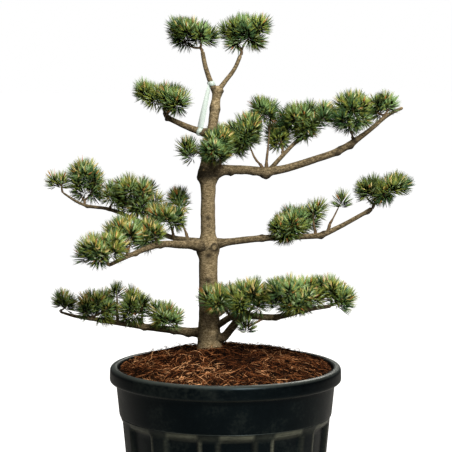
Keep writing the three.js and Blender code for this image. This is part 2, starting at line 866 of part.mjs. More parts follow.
const pot = potSolid();
place("pot", pot, "pot");
const soil = soilSolid();
place("root_ball", soil, "soil");
const tape = tapeSolid(["trunk", "leader_left", "leader_right", "bough_upper_left"].map((n) => clear[n]));
place("training_tape", tape, "tape");

const allClear = names.map((n) => clear[n]).reduce((a, b) => a.add(b)).add(soil);
const made = [tape];
Object.entries(PADS).forEach(([name, pad], i) => {
  const solid = padSolid(pad, i + 1, allClear, made);
  made.push(solid);
  place(name, solid, "needles");
});

export default plant;
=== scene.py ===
# %% [markdown]
# # A Japanese white pine in a nursery pot
# The tree is trained into flat pads: one straight trunk, long bare boughs, and a pad of short
# blue-green needles wherever a bough ends. The measured model gives every piece its place, so the
# first step loads it. Everything after that is in metres, in the same frame, standing on z = 0 with
# the front towards -Y.

import bpy
import numpy as np
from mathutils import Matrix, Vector


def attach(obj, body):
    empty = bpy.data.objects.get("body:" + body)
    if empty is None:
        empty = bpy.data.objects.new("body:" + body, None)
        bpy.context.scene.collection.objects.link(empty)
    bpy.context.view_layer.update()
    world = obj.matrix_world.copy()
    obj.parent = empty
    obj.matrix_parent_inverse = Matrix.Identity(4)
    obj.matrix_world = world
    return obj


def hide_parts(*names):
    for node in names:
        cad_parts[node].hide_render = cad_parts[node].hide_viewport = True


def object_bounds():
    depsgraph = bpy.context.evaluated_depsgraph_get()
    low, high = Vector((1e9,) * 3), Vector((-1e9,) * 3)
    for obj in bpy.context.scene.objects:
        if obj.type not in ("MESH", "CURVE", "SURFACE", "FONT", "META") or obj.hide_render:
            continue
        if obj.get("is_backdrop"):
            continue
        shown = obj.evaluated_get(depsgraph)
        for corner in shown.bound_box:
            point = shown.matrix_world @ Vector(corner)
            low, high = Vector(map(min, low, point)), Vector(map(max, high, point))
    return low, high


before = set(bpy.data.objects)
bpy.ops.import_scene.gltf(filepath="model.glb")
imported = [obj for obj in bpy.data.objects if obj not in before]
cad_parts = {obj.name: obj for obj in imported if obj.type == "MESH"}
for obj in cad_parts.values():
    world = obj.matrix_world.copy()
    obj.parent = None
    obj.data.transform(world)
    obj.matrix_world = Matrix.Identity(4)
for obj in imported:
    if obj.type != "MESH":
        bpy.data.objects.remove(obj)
cad_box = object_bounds()
print("measured nodes:", len(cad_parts))

# %% [markdown]
# ## The camera and the lamps
# The photo was taken from about four and a half metres away with a long lens, from the height of the
# tree's top. A long lens keeps the rim's ellipse flat. The light is soft. It comes from up and to the
# right of the camera and from above, so limbs are bright on top and dark underneath. A weaker lamp
# behind keeps the back readable.

# %% Camera and lamps
CAMERA_AT, CAMERA_TO = (0.0012, -4.5, 1.248), (0.0012, 0, 0.768)
LENS, SENSOR = 150.18, 36  # mm
CROWN = (0, 0, 0.8)  # the lamps point here
LAMPS = {  # name: place, size across and up, watts
    "key": ((1.1, -2.9, 2.9), (0.7, 0.7), 235),
    "overhead": ((-0.2, -0.6, 4.2), (1.4, 1.4), 100),
    "back_fill": ((0.8, 3.2, 2.8), (2.0, 1.6), 80),
}
scene = bpy.context.scene
scene.view_settings.view_transform = "Standard"


def stand(name, data, place, target):
    """Puts a camera or lamp at place, with its -Z axis along target - place."""
    made = bpy.data.objects.new(name, data)
    scene.collection.objects.link(made)
    made.location = place
    way = Vector(target) - Vector(place)
    made.rotation_euler = way.to_track_quat("-Z", "Y").to_euler()
    return made


lens = bpy.data.cameras.new("camera")
lens.sensor_width, lens.lens = SENSOR, LENS
scene.camera = stand("camera", lens, CAMERA_AT, CAMERA_TO)
for name, (place, size, watts) in LAMPS.items():
    lamp = bpy.data.lights.new(name, "AREA")
    lamp.color = (1, 0.95, 0.85)
    lamp.shape, lamp.energy = "RECTANGLE", watts
    lamp.size, lamp.size_y = size
    stand(name, lamp, place, CROWN)
print("lamps:", list(LAMPS))

# %% [markdown]
# ## Helpers for materials and meshes
# A material is a tree of nodes. Writing out every node and wire makes a long list that hides the
# idea, so one helper adds a node together with what feeds it. Another turns arrays of points and
# faces into a mesh in one go, because adding corners one by one is slow for a million triangles.

# %% Node and mesh helpers
def add_node(tree, kind, out, inputs=(), **settings):
    """Adds a node with settings given by name, and gives back its output called out. Inputs is a dict
    from an input's name or number to a value, or to the output of the node that feeds it."""
    node = tree.nodes.new("ShaderNode" + kind)
    for name, value in settings.items():
        setattr(node, name, value)
    for name, value in dict(inputs).items():
        if isinstance(value, bpy.types.NodeSocket):
            tree.links.new(value, node.inputs[name])
        else:
            node.inputs[name].default_value = value
    return node.outputs[out]


def remap(tree, value, low, high, new_low, new_high):
    """Slides the range low to high over to new_low to new_high, and holds it at both ends."""
    ends = {"From Min": low, "From Max": high, "To Min": new_low, "To Max": new_high}
    return add_node(tree, "MapRange", "Result", {"Value": value, **ends})


def blank_material(name, colour, roughness):
    """A new material with one Principled shader; gives back the material, its nodes and the shader."""
    made = bpy.data.materials.new(name)
    made.use_nodes = True
    shader = made.node_tree.nodes["Principled BSDF"]
    shader.inputs["Base Color"].default_value = (*colour, 1)
    shader.inputs["Roughness"].default_value = roughness
    made.diffuse_color = (*colour, 1)
    return made, made.node_tree, shader


def mesh_piece(name, points, faces, materials, pick=None, smooth=True):
    """A mesh object from arrays: points (n, 3), faces (m, 3) or (m, 4), pick the material of a face."""
    mesh = bpy.data.meshes.new(name)
    faces = np.asarray(faces, np.int32)
    mesh.vertices.add(len(points))
    mesh.vertices.foreach_set("co", np.asarray(points, np.float32).ravel())
    mesh.loops.add(faces.size)
    mesh.loops.foreach_set("vertex_index", faces.ravel())
    mesh.polygons.add(len(faces))
    mesh.polygons.foreach_set("loop_start", np.arange(len(faces), dtype=np.int32) * faces.shape[1])
    mesh.update(calc_edges=True)
    for m in materials:
        mesh.materials.append(m)
    if pick is not None:
        mesh.polygons.foreach_set("material_index", np.asarray(pick, np.int32))
    mesh.polygons.foreach_set("use_smooth", np.full(len(faces), smooth))
    mesh.validate()
    made = bpy.data.objects.new(name, mesh)
    scene.collection.objects.link(made)
    return made


print("helpers:", [helper.__name__ for helper in (add_node, remap, blank_material, mesh_piece)])

# %% [markdown]
# ## A white studio
# The photo's background is pure white, but a world that bright would wash out the dark pads. So the
# world and the floor are white only where the camera sees them straight. Other rays find a dim grey,
# a little brighter for reflections, which leaves a soft sheen on the pot's rim.

# %% White world and floor
SEEN, FILL, SHEEN = 1.0, 0.035, 0.11  # the world's strength for the camera, for light and for reflections
world = bpy.data.worlds.new("white_studio")
scene.world = world
world.use_nodes = True
tree = world.node_tree
backdrop = tree.nodes["Background"]
backdrop.inputs["Color"].default_value = (1, 1, 1, 1)
seen = remap(tree, add_node(tree, "LightPath", "Is Camera Ray"), 0, 1, FILL, SEEN)
glossy = remap(tree, add_node(tree, "LightPath", "Is Glossy Ray"), 0, 1, 0, SHEEN)
brighter = add_node(tree, "Math", "Value", {0: seen, 1: glossy}, operation="MAXIMUM")
tree.links.new(brighter, backdrop.inputs["Strength"])
floor_material, tree, shader = blank_material("pale_floor", (0.3, 0.3, 0.3), 0.9)
shader.inputs["Emission Color"].default_value = (1, 1, 1, 1)
tree.links.new(add_node(tree, "LightPath", "Is Camera Ray"), shader.inputs["Emission Strength"])
corners = [(-30, -30, 0), (30, -30, 0), (30, 30, 0), (-30, 30, 0)]
floor = mesh_piece("floor", corners, [(0, 1, 2, 3)], [floor_material])
floor.location.z = -0.0005
floor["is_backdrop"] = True
print("floor and world are white to the camera")

# %% [markdown]
# ## The plant's plan
# A pruned pine is easiest to describe as limbs and pads. Each limb is a short list of bends, with a
# thickness at each. Each pad names its limb, how far along it grows, its middle, its half sizes and
# its number of main shoots. These are the same numbers as in the measured model, in millimetres.

# %% Limbs and pads
LIMBS = {  # the bends of each limb, from its foot: x, y, z, radius
    "trunk": [
        [-38, 0, 446, 34], [-39, 0, 492, 28], [-39, 0, 540, 25.5], [-41, 0, 600, 23.5],
        [-41, 0, 690, 22.6], [-41, 0, 722, 25.5], [-42, 0, 752, 17.5], [-42, 0, 826, 17],
        [-42, 0, 868, 18], [-42, 0, 898, 23.5], [-40, 0, 930, 17.5], [-37, 0, 960, 14.5],
        [-31, 0, 1006, 12], [-25, 0, 1050, 12.5], [-22, 0, 1074, 10], [-19, 0, 1093, 13.5],
        [-19, 0, 1104, 8],
    ],
    "leader_left": [[-22, 0, 1088, 7], [-35, -2, 1112, 6.4], [-48, -4, 1151, 5.6], [-55, -5, 1186, 4.8]],
    "leader_right": [[-19, 0, 1090, 6], [0, 4, 1115, 5.4], [21, 8, 1143, 4.8], [36, 10, 1176, 4.6]],
    "bough_upper_left": [[-33, 0, 988, 10], [-68, 8, 997, 8.4], [-100, 14, 1009, 7], [-143, 20, 1029, 6]],
    "bough_upper_right": [
        [-40, 0, 896, 15], [1, 0, 903, 11.5], [47, 10, 902, 10.6], [95, 15, 898, 11],
        [141, 20, 904, 9.6], [208, 25, 924, 8.8], [271, 30, 946, 8.4], [302, 30, 964, 7.6],
        [347, 30, 997, 5.6], [391, 35, 1033, 4.8], [426, 35, 1050, 3.4],
    ],
    "limb_upper_right_inner": [
        [104, 18, 899, 5.6], [140, 30, 938, 5], [172, 40, 968, 4.4], [214, 45, 988, 3.4],
    ],
    "bough_mid_left_back": [
        [-40, 12, 725, 9.5], [-70, 22, 729, 8], [-98, 34, 731, 7], [-135, 60, 735, 6.3],
        [-185, 105, 754, 5.6], [-236, 135, 776, 5], [-291, 155, 794, 4.4], [-345, 165, 801, 3.8],
        [-374, 170, 813, 3.2], [-404, 170, 833, 2.4],
    ],
    "bough_mid_left_front": [
        [-42, -2, 716, 15], [-72, -14, 724, 11.5], [-104, -46, 728, 9.6], [-154, -92, 734, 7.6],
        [-222, -155, 716, 5.6], [-268, -195, 698, 4],
    ],
    "bough_mid_right": [
        [-38, 0, 722, 13], [1, 5, 728, 9], [88, 20, 736, 8], [141, 25, 738, 7.4],
        [190, 30, 739, 7], [231, 30, 743, 7], [280, 40, 764, 5.8], [356, 50, 805, 4.6],
    ],
    "bough_low_left": [
        [-40, 0, 508, 13], [-78, 8, 509, 10.5], [-127, 20, 512, 9], [-198, 30, 519, 7.8],
        [-304, 50, 532, 6], [-368, 60, 540, 4], [-404, 62, 550, 2.8],
    ],
    "bough_low_right": [
        [-34, -4, 503, 12], [-7, -13, 500, 10.4], [16, -30, 527, 9.6], [39, -50, 555, 8.8],
        [119, -90, 561, 7.2], [187, -110, 581, 5.8], [248, -120, 592, 4],
    ],
    "bough_low_right_fork": [
        [-38, 0, 517, 9.5], [-12, -10, 533, 8.4], [12, -26, 550, 7.4], [38, -52, 556, 6.8],
    ],
    "bough_low_back": [[-40, 4, 532, 9], [-33, 60, 533, 6.8], [-12, 118, 538, 5.4], [4, 158, 543, 4.4]],
    "bough_high_back": [[-42, 0, 900, 10], [-34, 48, 906, 6.4], [-6, 108, 920, 5.2], [12, 148, 930, 4.2]],
    "limb_mid_right_back": [
        [88, 20, 736, 6.4], [112, 62, 733, 5.4], [138, 104, 732, 4.8], [162, 134, 734, 4.2],
    ],
}
PADS = {  # limb, how far along it, middle, half sizes, rise to the right, main shoots
    "pad_top_left": ("leader_left", 1, (-79, 0, 1230), (72, 62, 37), -0.1, 9),
    "pad_top_right": ("leader_right", 1, (49, 10, 1233), (69, 62, 43), 0.15, 10),
    "pad_upper_left": ("bough_upper_left", 1, (-163, 40, 1085), (72, 56, 31), -0.05, 6),
    "pad_upper_front": ("bough_upper_left", 1, (-118, -16, 1068), (44, 44, 34), 0, 4),
    "pad_crown_front": ("bough_upper_right", 0.075, (-23, -62, 970), (53, 60, 40), 0.2, 7),
    "pad_crown_inner": ("bough_upper_right", 0.29, (46, -18, 1000), (54, 52, 43), 0.45, 7),
    "pad_crown_sprig": ("trunk", 0.61, (-89, -10, 955), (33, 30, 28), 0, 2),
    "pad_crown_spire": ("bough_upper_right", 0.31, (94, 2, 1051), (42, 40, 30), 0, 4),
    "pad_right_inner": ("limb_upper_right_inner", 1, (196, 44, 1023), (82, 60, 47), 0.15, 10),
    "pad_right_middle": ("bough_upper_right", 0.71, (301, 22, 1045), (62, 58, 52), 0.1, 9),
    "pad_right_tip": ("bough_upper_right", 0.88, (376, 42, 1055), (51, 46, 37), 0.05, 5),
    "pad_crown_back": ("bough_high_back", 1, (16, 186, 968), (74, 62, 44), 0, 6),
    "pad_back_tip": ("bough_mid_left_back", 1, (-417, 170, 861), (36, 36, 28), 0, 2),
    "pad_back_outer": ("bough_mid_left_back", 0.8, (-346, 178, 866), (56, 50, 54), -0.1, 8),
    "pad_back_small": ("bough_mid_left_back", 0.66, (-275, 150, 834), (38, 42, 34), -0.2, 3),
    "pad_back_inner": ("bough_mid_left_back", 0.47, (-220, 112, 834), (72, 56, 51), -0.1, 8),
    "pad_back_sprig": ("bough_mid_left_back", 0.2, (-113, 66, 829), (34, 36, 31), -0.15, 3),
    "pad_back_low": ("bough_mid_left_back", 0.3, (-145, 20, 792), (62, 44, 32), -0.1, 6),
    "pad_front_tip": ("bough_mid_left_front", 1, (-287, -202, 738), (69, 58, 40), 0.15, 9),
    "pad_front_outer": ("bough_mid_left_front", 0.82, (-235, -128, 768), (59, 54, 43), 0.15, 7),
    "pad_front_inner": ("bough_mid_left_front", 0.62, (-177, -92, 763), (50, 48, 38), 0, 5),
    "pad_mid_right_inner": ("bough_mid_right", 0.5, (151, 12, 769), (60, 58, 37), 0.3, 8),
    "pad_mid_right_upper": ("bough_mid_right", 0.67, (212, 24, 802), (32, 34, 30), 0.2, 2),
    "pad_mid_right_sprig": ("bough_mid_right", 0.74, (279, 30, 826), (28, 28, 27), 0, 1),
    "pad_mid_right_tip": ("bough_mid_right", 1, (378, 50, 857), (78, 58, 34), 0.16, 9),
    "pad_mid_right_back": ("limb_mid_right_back", 1, (180, 172, 766), (62, 52, 38), 0, 6),
    "pad_low_left_tip": ("bough_low_left", 1, (-397, 66, 573), (38, 36, 36), 0, 3),
    "pad_low_left_spire": ("bough_low_left", 0.6, (-268, 36, 604), (28, 28, 27), 0, 1),
    "pad_low_left_outer": ("bough_low_left", 0.72, (-313, 52, 567), (60, 52, 46), 0, 7),
    "pad_low_left_middle": ("bough_low_left", 0.5, (-224, 26, 571), (51, 48, 45), 0, 5),
    "pad_low_left_inner": ("bough_low_left", 0.28, (-143, 8, 550), (55, 46, 36), -0.4, 6),
    "pad_low_right_inner": ("bough_low_right_fork", 0.7, (-24, -78, 608), (48, 44, 33), 0.1, 4),
    "pad_low_right_middle": ("bough_low_right", 0.54, (58, -78, 611), (65, 60, 45), 0.08, 8),
    "pad_low_right_outer": ("bough_low_right", 0.78, (164, -112, 620), (80, 64, 49), 0.05, 10),
    "pad_low_right_tip": ("bough_low_right", 1, (253, -122, 623), (56, 54, 42), -0.5, 7),
    "pad_low_right_sprig": ("bough_low_right", 0.62, (50, -82, 536), (26, 26, 20), 0, 1),
    "pad_low_back": ("bough_low_back", 1, (16, 192, 570), (74, 62, 38), 0, 5),
    "pad_crown_middle": ("limb_upper_right_inner", 0.33, (127, 60, 986), (48, 44, 36), 0, 4),
}
print("limbs:", len(LIMBS), "pads:", len(PADS))

# %% [markdown]
# ## Limbs as smooth curves
# A limb should pass through its bends without corners. A polyline would show them, and a plain spline
# swings wide where bends lie close together. A centripetal Catmull-Rom curve does neither, and the
# measured model uses the same one.

# %% The curve of a limb
def unit(v):
    """v / |v|, along the last axis."""
    return v / np.linalg.norm(v, axis=-1, keepdims=True)


def distance(a, b):
    """|a - b|, along the last axis."""
    return np.linalg.norm(a - b, axis=-1)


def along(path, t):
    """Points, directions and radii of a limb at t (array, 0 foot to 1 tip). Between two bends the middle
    line is a cubic whose end slopes come from the bends on either side, each weighed by the square root
    of the distance. The radius runs straight between bends."""
    path = np.asarray(path, float)
    points, radii = path[:, :3], path[:, 3]
    ends = np.vstack([2 * points[0] - points[1], points, 2 * points[-1] - points[-2]])
    place = np.clip(np.asarray(t, float), 0, 1) * (len(points) - 1)
    i = np.minimum(place.astype(int), len(points) - 2)
    w = (place - i)[:, None]
    p0, p1, p2, p3 = ends[i], ends[i + 1], ends[i + 2], ends[i + 3]
    d0, d1, d2 = (distance(a, b)[:, None] ** 0.5 for a, b in ((p0, p1), (p1, p2), (p2, p3)))
    s1 = ((p1 - p0) / d0 - (p2 - p0) / (d0 + d1) + (p2 - p1) / d1) * d1
    s2 = ((p2 - p1) / d1 - (p3 - p1) / (d1 + d2) + (p3 - p2) / d2) * d1
    c2, c3 = -3 * p1 + 3 * p2 - 2 * s1 - s2, 2 * p1 - 2 * p2 + s1 + s2
    line = p1 + s1 * w + c2 * w**2 + c3 * w**3
    way = unit(s1 + 2 * c2 * w + 3 * c3 * w**2)
    return line, way, np.interp(place, np.arange(len(radii)), radii)


print("the trunk half way up, mm:", along(LIMBS["trunk"], [0.5])[0][0].round(1))

# %% [markdown]
# ## Tubes as grids
# Blender can give a curve a round bevel, but then there are no points of its own to press bark into.
# So a tube is a grid of rings along the curve. Two directions square to the curve are carried along
# it, each ring is laid out by cosine and sine between them, and the faces follow from counting alone.

# %% Rings and their faces
def frames_along(way):
    """Two directions square to each step of a path, carried along it without twist."""
    normal = np.zeros_like(way)
    last = np.array([0.3, 1, 0.2])
    for i, d in enumerate(way):
        last = unit(last - d * last.dot(d))
        normal[i] = last
    return normal, np.cross(way, normal)


def full_turn(sides):
    """A row of equal angles round a circle, in radians."""
    return (np.arange(sides) * 2 * np.pi / sides)[None]


def around(angle, n, b):
    """Directions round a line: cos(angle) * n + sin(angle) * b."""
    return np.cos(angle)[..., None] * n[:, None] + np.sin(angle)[..., None] * b[:, None]


def side_faces(rows, sides):
    """Triangles between the rings of a tube. Corner j of ring i is point i * sides + j, and the square
    from there to corner j + 1 of ring i + 1 makes two triangles."""
    i, j = (v.ravel() for v in np.meshgrid(np.arange(rows - 1), np.arange(sides), indexing="ij"))
    k = (j + 1) % sides
    a, b, c, d = i * sides + j, i * sides + k, (i + 1) * sides + k, (i + 1) * sides + j
    return np.vstack([np.stack([a, b, c], -1), np.stack([a, c, d], -1)])


def round_faces(rows, sides):
    """The faces of a tube whose ends close on two middle points that stand after its rings."""
    j = np.arange(sides)
    k, last, middle = (j + 1) % sides, (rows - 1) * sides, np.full(sides, rows * sides)
    foot, head = np.stack([k, j, middle], -1), np.stack([last + j, last + k, middle + 1], -1)
    return np.vstack([side_faces(rows, sides), foot, head])


print("faces of a tube of 4 rings of 6:", len(round_faces(4, 6)))

# %% [markdown]
# ## Bark: noise in the mesh
# Bark on this young pine is grey-brown, finely cracked and scaly, with thick rings where whorls of
# branches were cut away. A picture could fake it, but relief in the mesh also shapes the outline. So
# each limb is a fine tube whose radius is changed by layered 3-D noise, worked out for all points at
# once from a hash of the corners of a grid.

# %% Layered noise on arrays
def noise(points, seed):
    """Smooth value noise, -1 to 1: hashed values at a unit grid's corners, mixed by 3t^2 - 2t^3."""
    cell = np.floor(points).astype(np.int64)
    f = points - cell
    f = f * f * (3 - 2 * f)
    total = 0
    for corner in range(8):
        step = np.array([corner & 1, corner >> 1 & 1, corner >> 2 & 1])
        x, y, z = np.moveaxis(cell + step, -1, 0)
        h = (x * 73856093 ^ y * 19349663 ^ z * 83492791 ^ seed * 2654435761) & 0x7FFFFFFF
        h = (h * 1103515245 + 12345) & 0x7FFFFFFF
        h = ((h >> 13) ^ h) & 0xFFFF
        total = total + np.prod(np.where(step == 1, f, 1 - f), axis=-1) * (h / 32767.5 - 1)
    return total


print("noise at one point:", noise(np.array([[0.3, 0.6, 0.9]]), 1))

# %% [markdown]
# ## Trunk and boughs
# The trunk flares where it meets the soil, swells at each old whorl and ends in a knob that carries
# two leaders. A bough leaves the trunk with a wide collar, and has knuckles where side shoots were
# pruned. Each knob is a soft bump in the radius, strongest on the side it points to. One fine tube
# per limb, sunk into its parent, gives the join its crease. Every point also gets a scar value, which
# tells the material where the bark is old and black and where a healed cut shows bare wood.

# %% Knobs, whorls and healed cuts
WHORLS = [  # z, reach, darkness
    (893, 15, 1.0), (716, 8, 0.6), (500, 12, 0.55), (1048, 6, 0.5), (1098, 7, 0.5),
]
EYES = [(-27, -21, 719, 8), (-40, -17, 771, 3.2), (-50, -19, 905, 4.5)]  # x, y, z, radius of the lip
KNOBS = {  # x, y, z, height, reach
    "trunk": [
        (-22, -14, 716, 2.5, 12), (-60, -6, 704, 5, 13), (-20, 4, 712, 4, 14), (-66, -8, 884, 6, 14),
        (-18, -8, 884, 6, 13), (-44, -22, 892, 4, 12), (-36, -17, 912, 3, 9), (-55, -14, 908, 4, 10),
        (-12, -6, 1046, 2.5, 8), (-36, -8, 1052, 2, 8), (-8, -8, 1090, 2.5, 8), (-26, -8, 1098, 2.5, 8),
        (-56, -8, 492, 3, 13), (-20, -16, 500, 4, 14), (-42, -22, 640, 1.4, 8), (-34, -20, 590, 1.6, 7),
        (-50, -18, 560, 1.6, 8), (-40, -22, 700, 2, 9), (-42, -17, 790, 1.2, 7), (-34, 20, 718, 4, 12),
        (-50, 18, 890, 5, 13),
    ],
    "bough_upper_right": [
        (95, 12, 886, 7, 9), (88, 6, 890, 4, 7), (104, 8, 889, 5, 7), (10, -8, 894, 3, 9),
        (14, -2, 890, 4, 6), (270, 26, 941, 4, 8), (275, 26, 955, 3, 7), (302, 26, 957, 5, 8),
        (310, 26, 972, 4, 7), (66, 6, 893, 2, 6),
    ],
    "bough_mid_right": [
        (88, 16, 744, 3, 6), (90, 14, 727, 3, 6), (232, 26, 736, 4, 7), (236, 26, 752, 3, 6),
        (346, 44, 796, 4, 7), (350, 46, 812, 3, 6), (150, 20, 731, 2, 6),
    ],
    "bough_upper_left": [(-146, 18, 1022, 5, 8), (-140, 16, 1036, 3, 7), (-60, 2, 992, 2, 6)],
    "bough_mid_left_front": [
        (-150, -96, 724, 4, 8), (-156, -98, 741, 3, 7), (-206, -144, 713, 3, 6), (-72, -20, 716, 2, 7),
    ],
    "bough_mid_left_back": [(-236, 130, 770, 3, 6), (-345, 160, 796, 3, 6), (-292, 150, 788, 2, 5)],
    "bough_low_left": [
        (-127, 14, 504, 3, 7), (-92, 6, 500, 4, 8), (-198, 26, 512, 3, 6), (-304, 46, 526, 3, 6),
    ],
    "bough_low_right": [
        (39, -56, 546, 4, 8), (42, -50, 565, 3, 8), (119, -96, 554, 3, 6), (187, -116, 574, 3, 6),
    ],
}
print("knobs:", sum(len(some) for some in KNOBS.values()), "healed cuts:", len(EYES))

# %% [markdown]
# ## Relief on a limb
# Bark has scaly plates, slow lumps and deep creases that run along the limb. Each is a noise with a
# size of its own, stretched along z for plates and creases, and scars are rougher than the rest. The
# trunk gets a finer grid than the boughs, as it is seen closest.

# %% Limb tubes with relief
TRUNK_GRID, BOUGH_GRID = (2.0, 56, 1.0), (2.6, 22, 0.85)  # mm between rings, sides, mm of relief
FLARE, FLARE_FADE = 5.5, 14  # mm added to the radius at the trunk's foot, and how fast that fades
COLLAR, COLLAR_FADE = 0.45, 1.9  # the same for a bough, in shares of its first radius
TIP_SLACK = 1.2  # mm left over where a limb rounds off at its tip
LIP_HIGH, LIP_SOFT, CUT = 0.3, 0.42, 0.6  # in radii of the lip: its height, its edge, and the bare wood
PLATES = [([5, 5, 9], 1, 0.7), ([2.2, 2.2, 3.4], 2, 0.45), ([1.1, 1.1, 1.1], 3, 0.25)]  # mm, seed, share
PLATE_SHARE, LUMP_SHARE, CREASE_SHARE, SCAR_ROUGHER = 0.62, 1.1, 1.3, 1.6


def scar_values(name, skin, gone):
    """How dark the bark is for its place: e^-((z - whorl) / reach)^2 at each whorl of the trunk. A bough
    is dark at its foot, and that fades as e^-(way / 14 mm)."""
    scar = 0 * skin[..., 0]
    if name != "trunk":
        return scar + 0.75 * np.exp(-np.maximum(0, gone - LIMBS[name][0][3]) / 14)[:, None]
    for height, reach, dark in WHORLS:
        scar = np.maximum(scar, dark * np.exp(-(((skin[..., 2] - height) / reach) ** 2)))
    return scar


def limb_tube(name, spacing, sides, relief):
    """Radius = the plan's radius, eased, + flare or collar + knobs and lips + layered noise. A limb's tip
    rounds off with the square root of what is left of its way. Knobs and lips count as scars too, and
    the bare wood inside a lip has the scar value -1."""
    path = LIMBS[name]
    rough = along(path, np.linspace(0, 1, 200))[0]
    steps = int(distance(rough[1:], rough[:-1]).sum() / spacing) + 2
    line, way, radius = along(path, np.linspace(0, 1, steps))
    gone = np.concatenate([[0], np.cumsum(distance(line[1:], line[:-1]))])
    ease = np.hanning(9) / np.hanning(9).sum()
    radius = np.convolve(np.pad(radius, 4, mode="edge"), ease, mode="valid")
    start = path[0][3]
    if name == "trunk":
        radius = radius + FLARE * np.exp(-gone / FLARE_FADE)
    else:
        radius = radius + COLLAR * start * np.exp(-((gone / (COLLAR_FADE * start)) ** 2))
    left = gone[-1] - gone
    radius = radius * np.sqrt(np.clip((left + TIP_SLACK) / (0.7 * radius + TIP_SLACK), 0.2, 1))
    out = around(full_turn(sides), *frames_along(way))
    skin = line[:, None] + out * radius[:, None, None]
    high = np.repeat(radius[:, None], sides, axis=1)
    scar = scar_values(name, skin, gone)
    for *place, height, reach in KNOBS.get(name, []):
        bump = np.exp(-((distance(skin, place) / reach) ** 2))
        high += height * bump
        scar = np.maximum(scar, bump)
    for *place, lip in EYES if name == "trunk" else []:
        apart = distance(skin, place) / lip
        edge = np.exp(-(((apart - 1) / LIP_SOFT) ** 2))
        high += LIP_HIGH * lip * edge
        scar = np.where(apart < CUT, -1, np.maximum(scar, edge))
    plates = sum(noise(skin / size, seed) * share for size, seed, share in PLATES)
    lumps = noise(skin / [17, 17, 23], 4)
    creases = -np.maximum(0, 0.45 - np.abs(noise(skin / [4.2, 4.2, 15], 5)) * 2.2)
    size = np.clip(radius / 20, 0.25, 1)[:, None]
    bark = plates * PLATE_SHARE + lumps * LUMP_SHARE + creases * CREASE_SHARE
    high += relief * size * bark * (1 + SCAR_ROUGHER * scar)
    points = (line[:, None] + out * high[..., None]).reshape(-1, 3)
    points = np.vstack([points, line[:1], line[-1:]])
    return points, round_faces(len(line), sides), np.append(scar.ravel(), [0, 0])


trunk_tubes = [limb_tube("trunk", *TRUNK_GRID)]
bough_tubes = [limb_tube(name, *BOUGH_GRID) for name in LIMBS if name != "trunk"]
print("limb tubes:", 1 + len(bough_tubes))

# %% [markdown]
# ## Flecks, a pattern that many pieces share
# Bark, twigs, soil, plastic and tape are all mottled at two scales at once, with broad patches and
# small specks. That is one node group, built once: two noises mixed to a single value. Each material
# places it with its own scales.

# %% The fleck group
def colour_steps(tree, value, stops):
    """Looks value up on a ramp of (position, colour) stops."""
    node = tree.nodes.new("ShaderNodeValToRGB")
    ramp = node.color_ramp
    while len(ramp.elements) < len(stops):
        ramp.elements.new(0.5)
    for element, (position, colour) in zip(ramp.elements, stops):
        element.position = position
        element.color = (*colour, 1)
    tree.links.new(value, node.inputs["Fac"])
    return node.outputs["Color"]


def fleck_group():
    """A node group: coarse noise * (1 - mix) + fine noise * mix, at a point."""
    group = bpy.data.node_groups.new("surface_flecks", "ShaderNodeTree")
    group.interface.new_socket("Vector", in_out="INPUT", socket_type="NodeSocketVector")
    for name, value in (("Coarse", 60.0), ("Fine", 420.0), ("Mix", 0.5)):
        socket = group.interface.new_socket(name, in_out="INPUT", socket_type="NodeSocketFloat")
        socket.default_value = value
    group.interface.new_socket("Flecks", in_out="OUTPUT", socket_type="NodeSocketFloat")
    given, out = group.nodes.new("NodeGroupInput").outputs, group.nodes.new("NodeGroupOutput")
    grain = {"Vector": given["Vector"], "Detail": 5.0, "Roughness": 0.62}
    coarse = add_node(group, "TexNoise", "Fac", {**grain, "Scale": given["Coarse"]})
    fine = add_node(group, "TexNoise", "Fac", {**grain, "Scale": given["Fine"]})
    mixed = add_node(group, "Mix", "Result", {"Factor": given["Mix"], "A": coarse, "B": fine})
    group.links.new(mixed, out.inputs["Flecks"])
    return group


FLECKS = fleck_group()


def place_flecks(tree, point, coarse, fine, mix):
    """The fleck value at a point."""
    scales = {"Vector": point, "Coarse": coarse, "Fine": fine, "Mix": mix}
    return add_node(tree, "Group", "Flecks", scales, node_tree=FLECKS)


def flecked_material(name, colour, roughness, scales, stops):
    """A material whose colour is looked up on a ramp by the flecks of the given (coarse, fine, mix)."""
    made, tree, shader = blank_material(name, colour, roughness)
    flecks = place_flecks(tree, add_node(tree, "TexCoord", "Object"), *scales)
    tree.links.new(colour_steps(tree, flecks, stops), shader.inputs["Base Color"])
    return made, shader


print("fleck group inputs:", [item.name for item in FLECKS.interface.items_tree])

# %% [markdown]
# ## The bark's colour
# Up close the bark is pale grey-brown on its raised scales, olive brown between them, and almost
# black in the cracks and on the old whorls. Painted light makes its upper side lighter and painted
# shade keeps its underside dark, and the young bark above a metre is paler. The material looks the
# flecks up on a ramp and multiplies that by a number for each of these effects. A bump adds the
# cracks that the mesh is too coarse to hold.

# %% Bark materials
PAINTED_LIGHT_SIDE = (0.2, -0.28, 0.94)  # the way that the side with painted light faces; the side facing away gets painted shade
BARE_WOOD = (0.46, 0.3, 0.12)


def times(tree, a, b):
    """a * b"""
    return add_node(tree, "Math", "Value", {0: a, 1: b}, operation="MULTIPLY")


def blend(tree, share, base, colour):
    """base * (1 - share) + colour * share"""
    return add_node(tree, "Mix", "Result", {"Factor": share, "A": base, "B": (*colour, 1)}, data_type="RGBA")


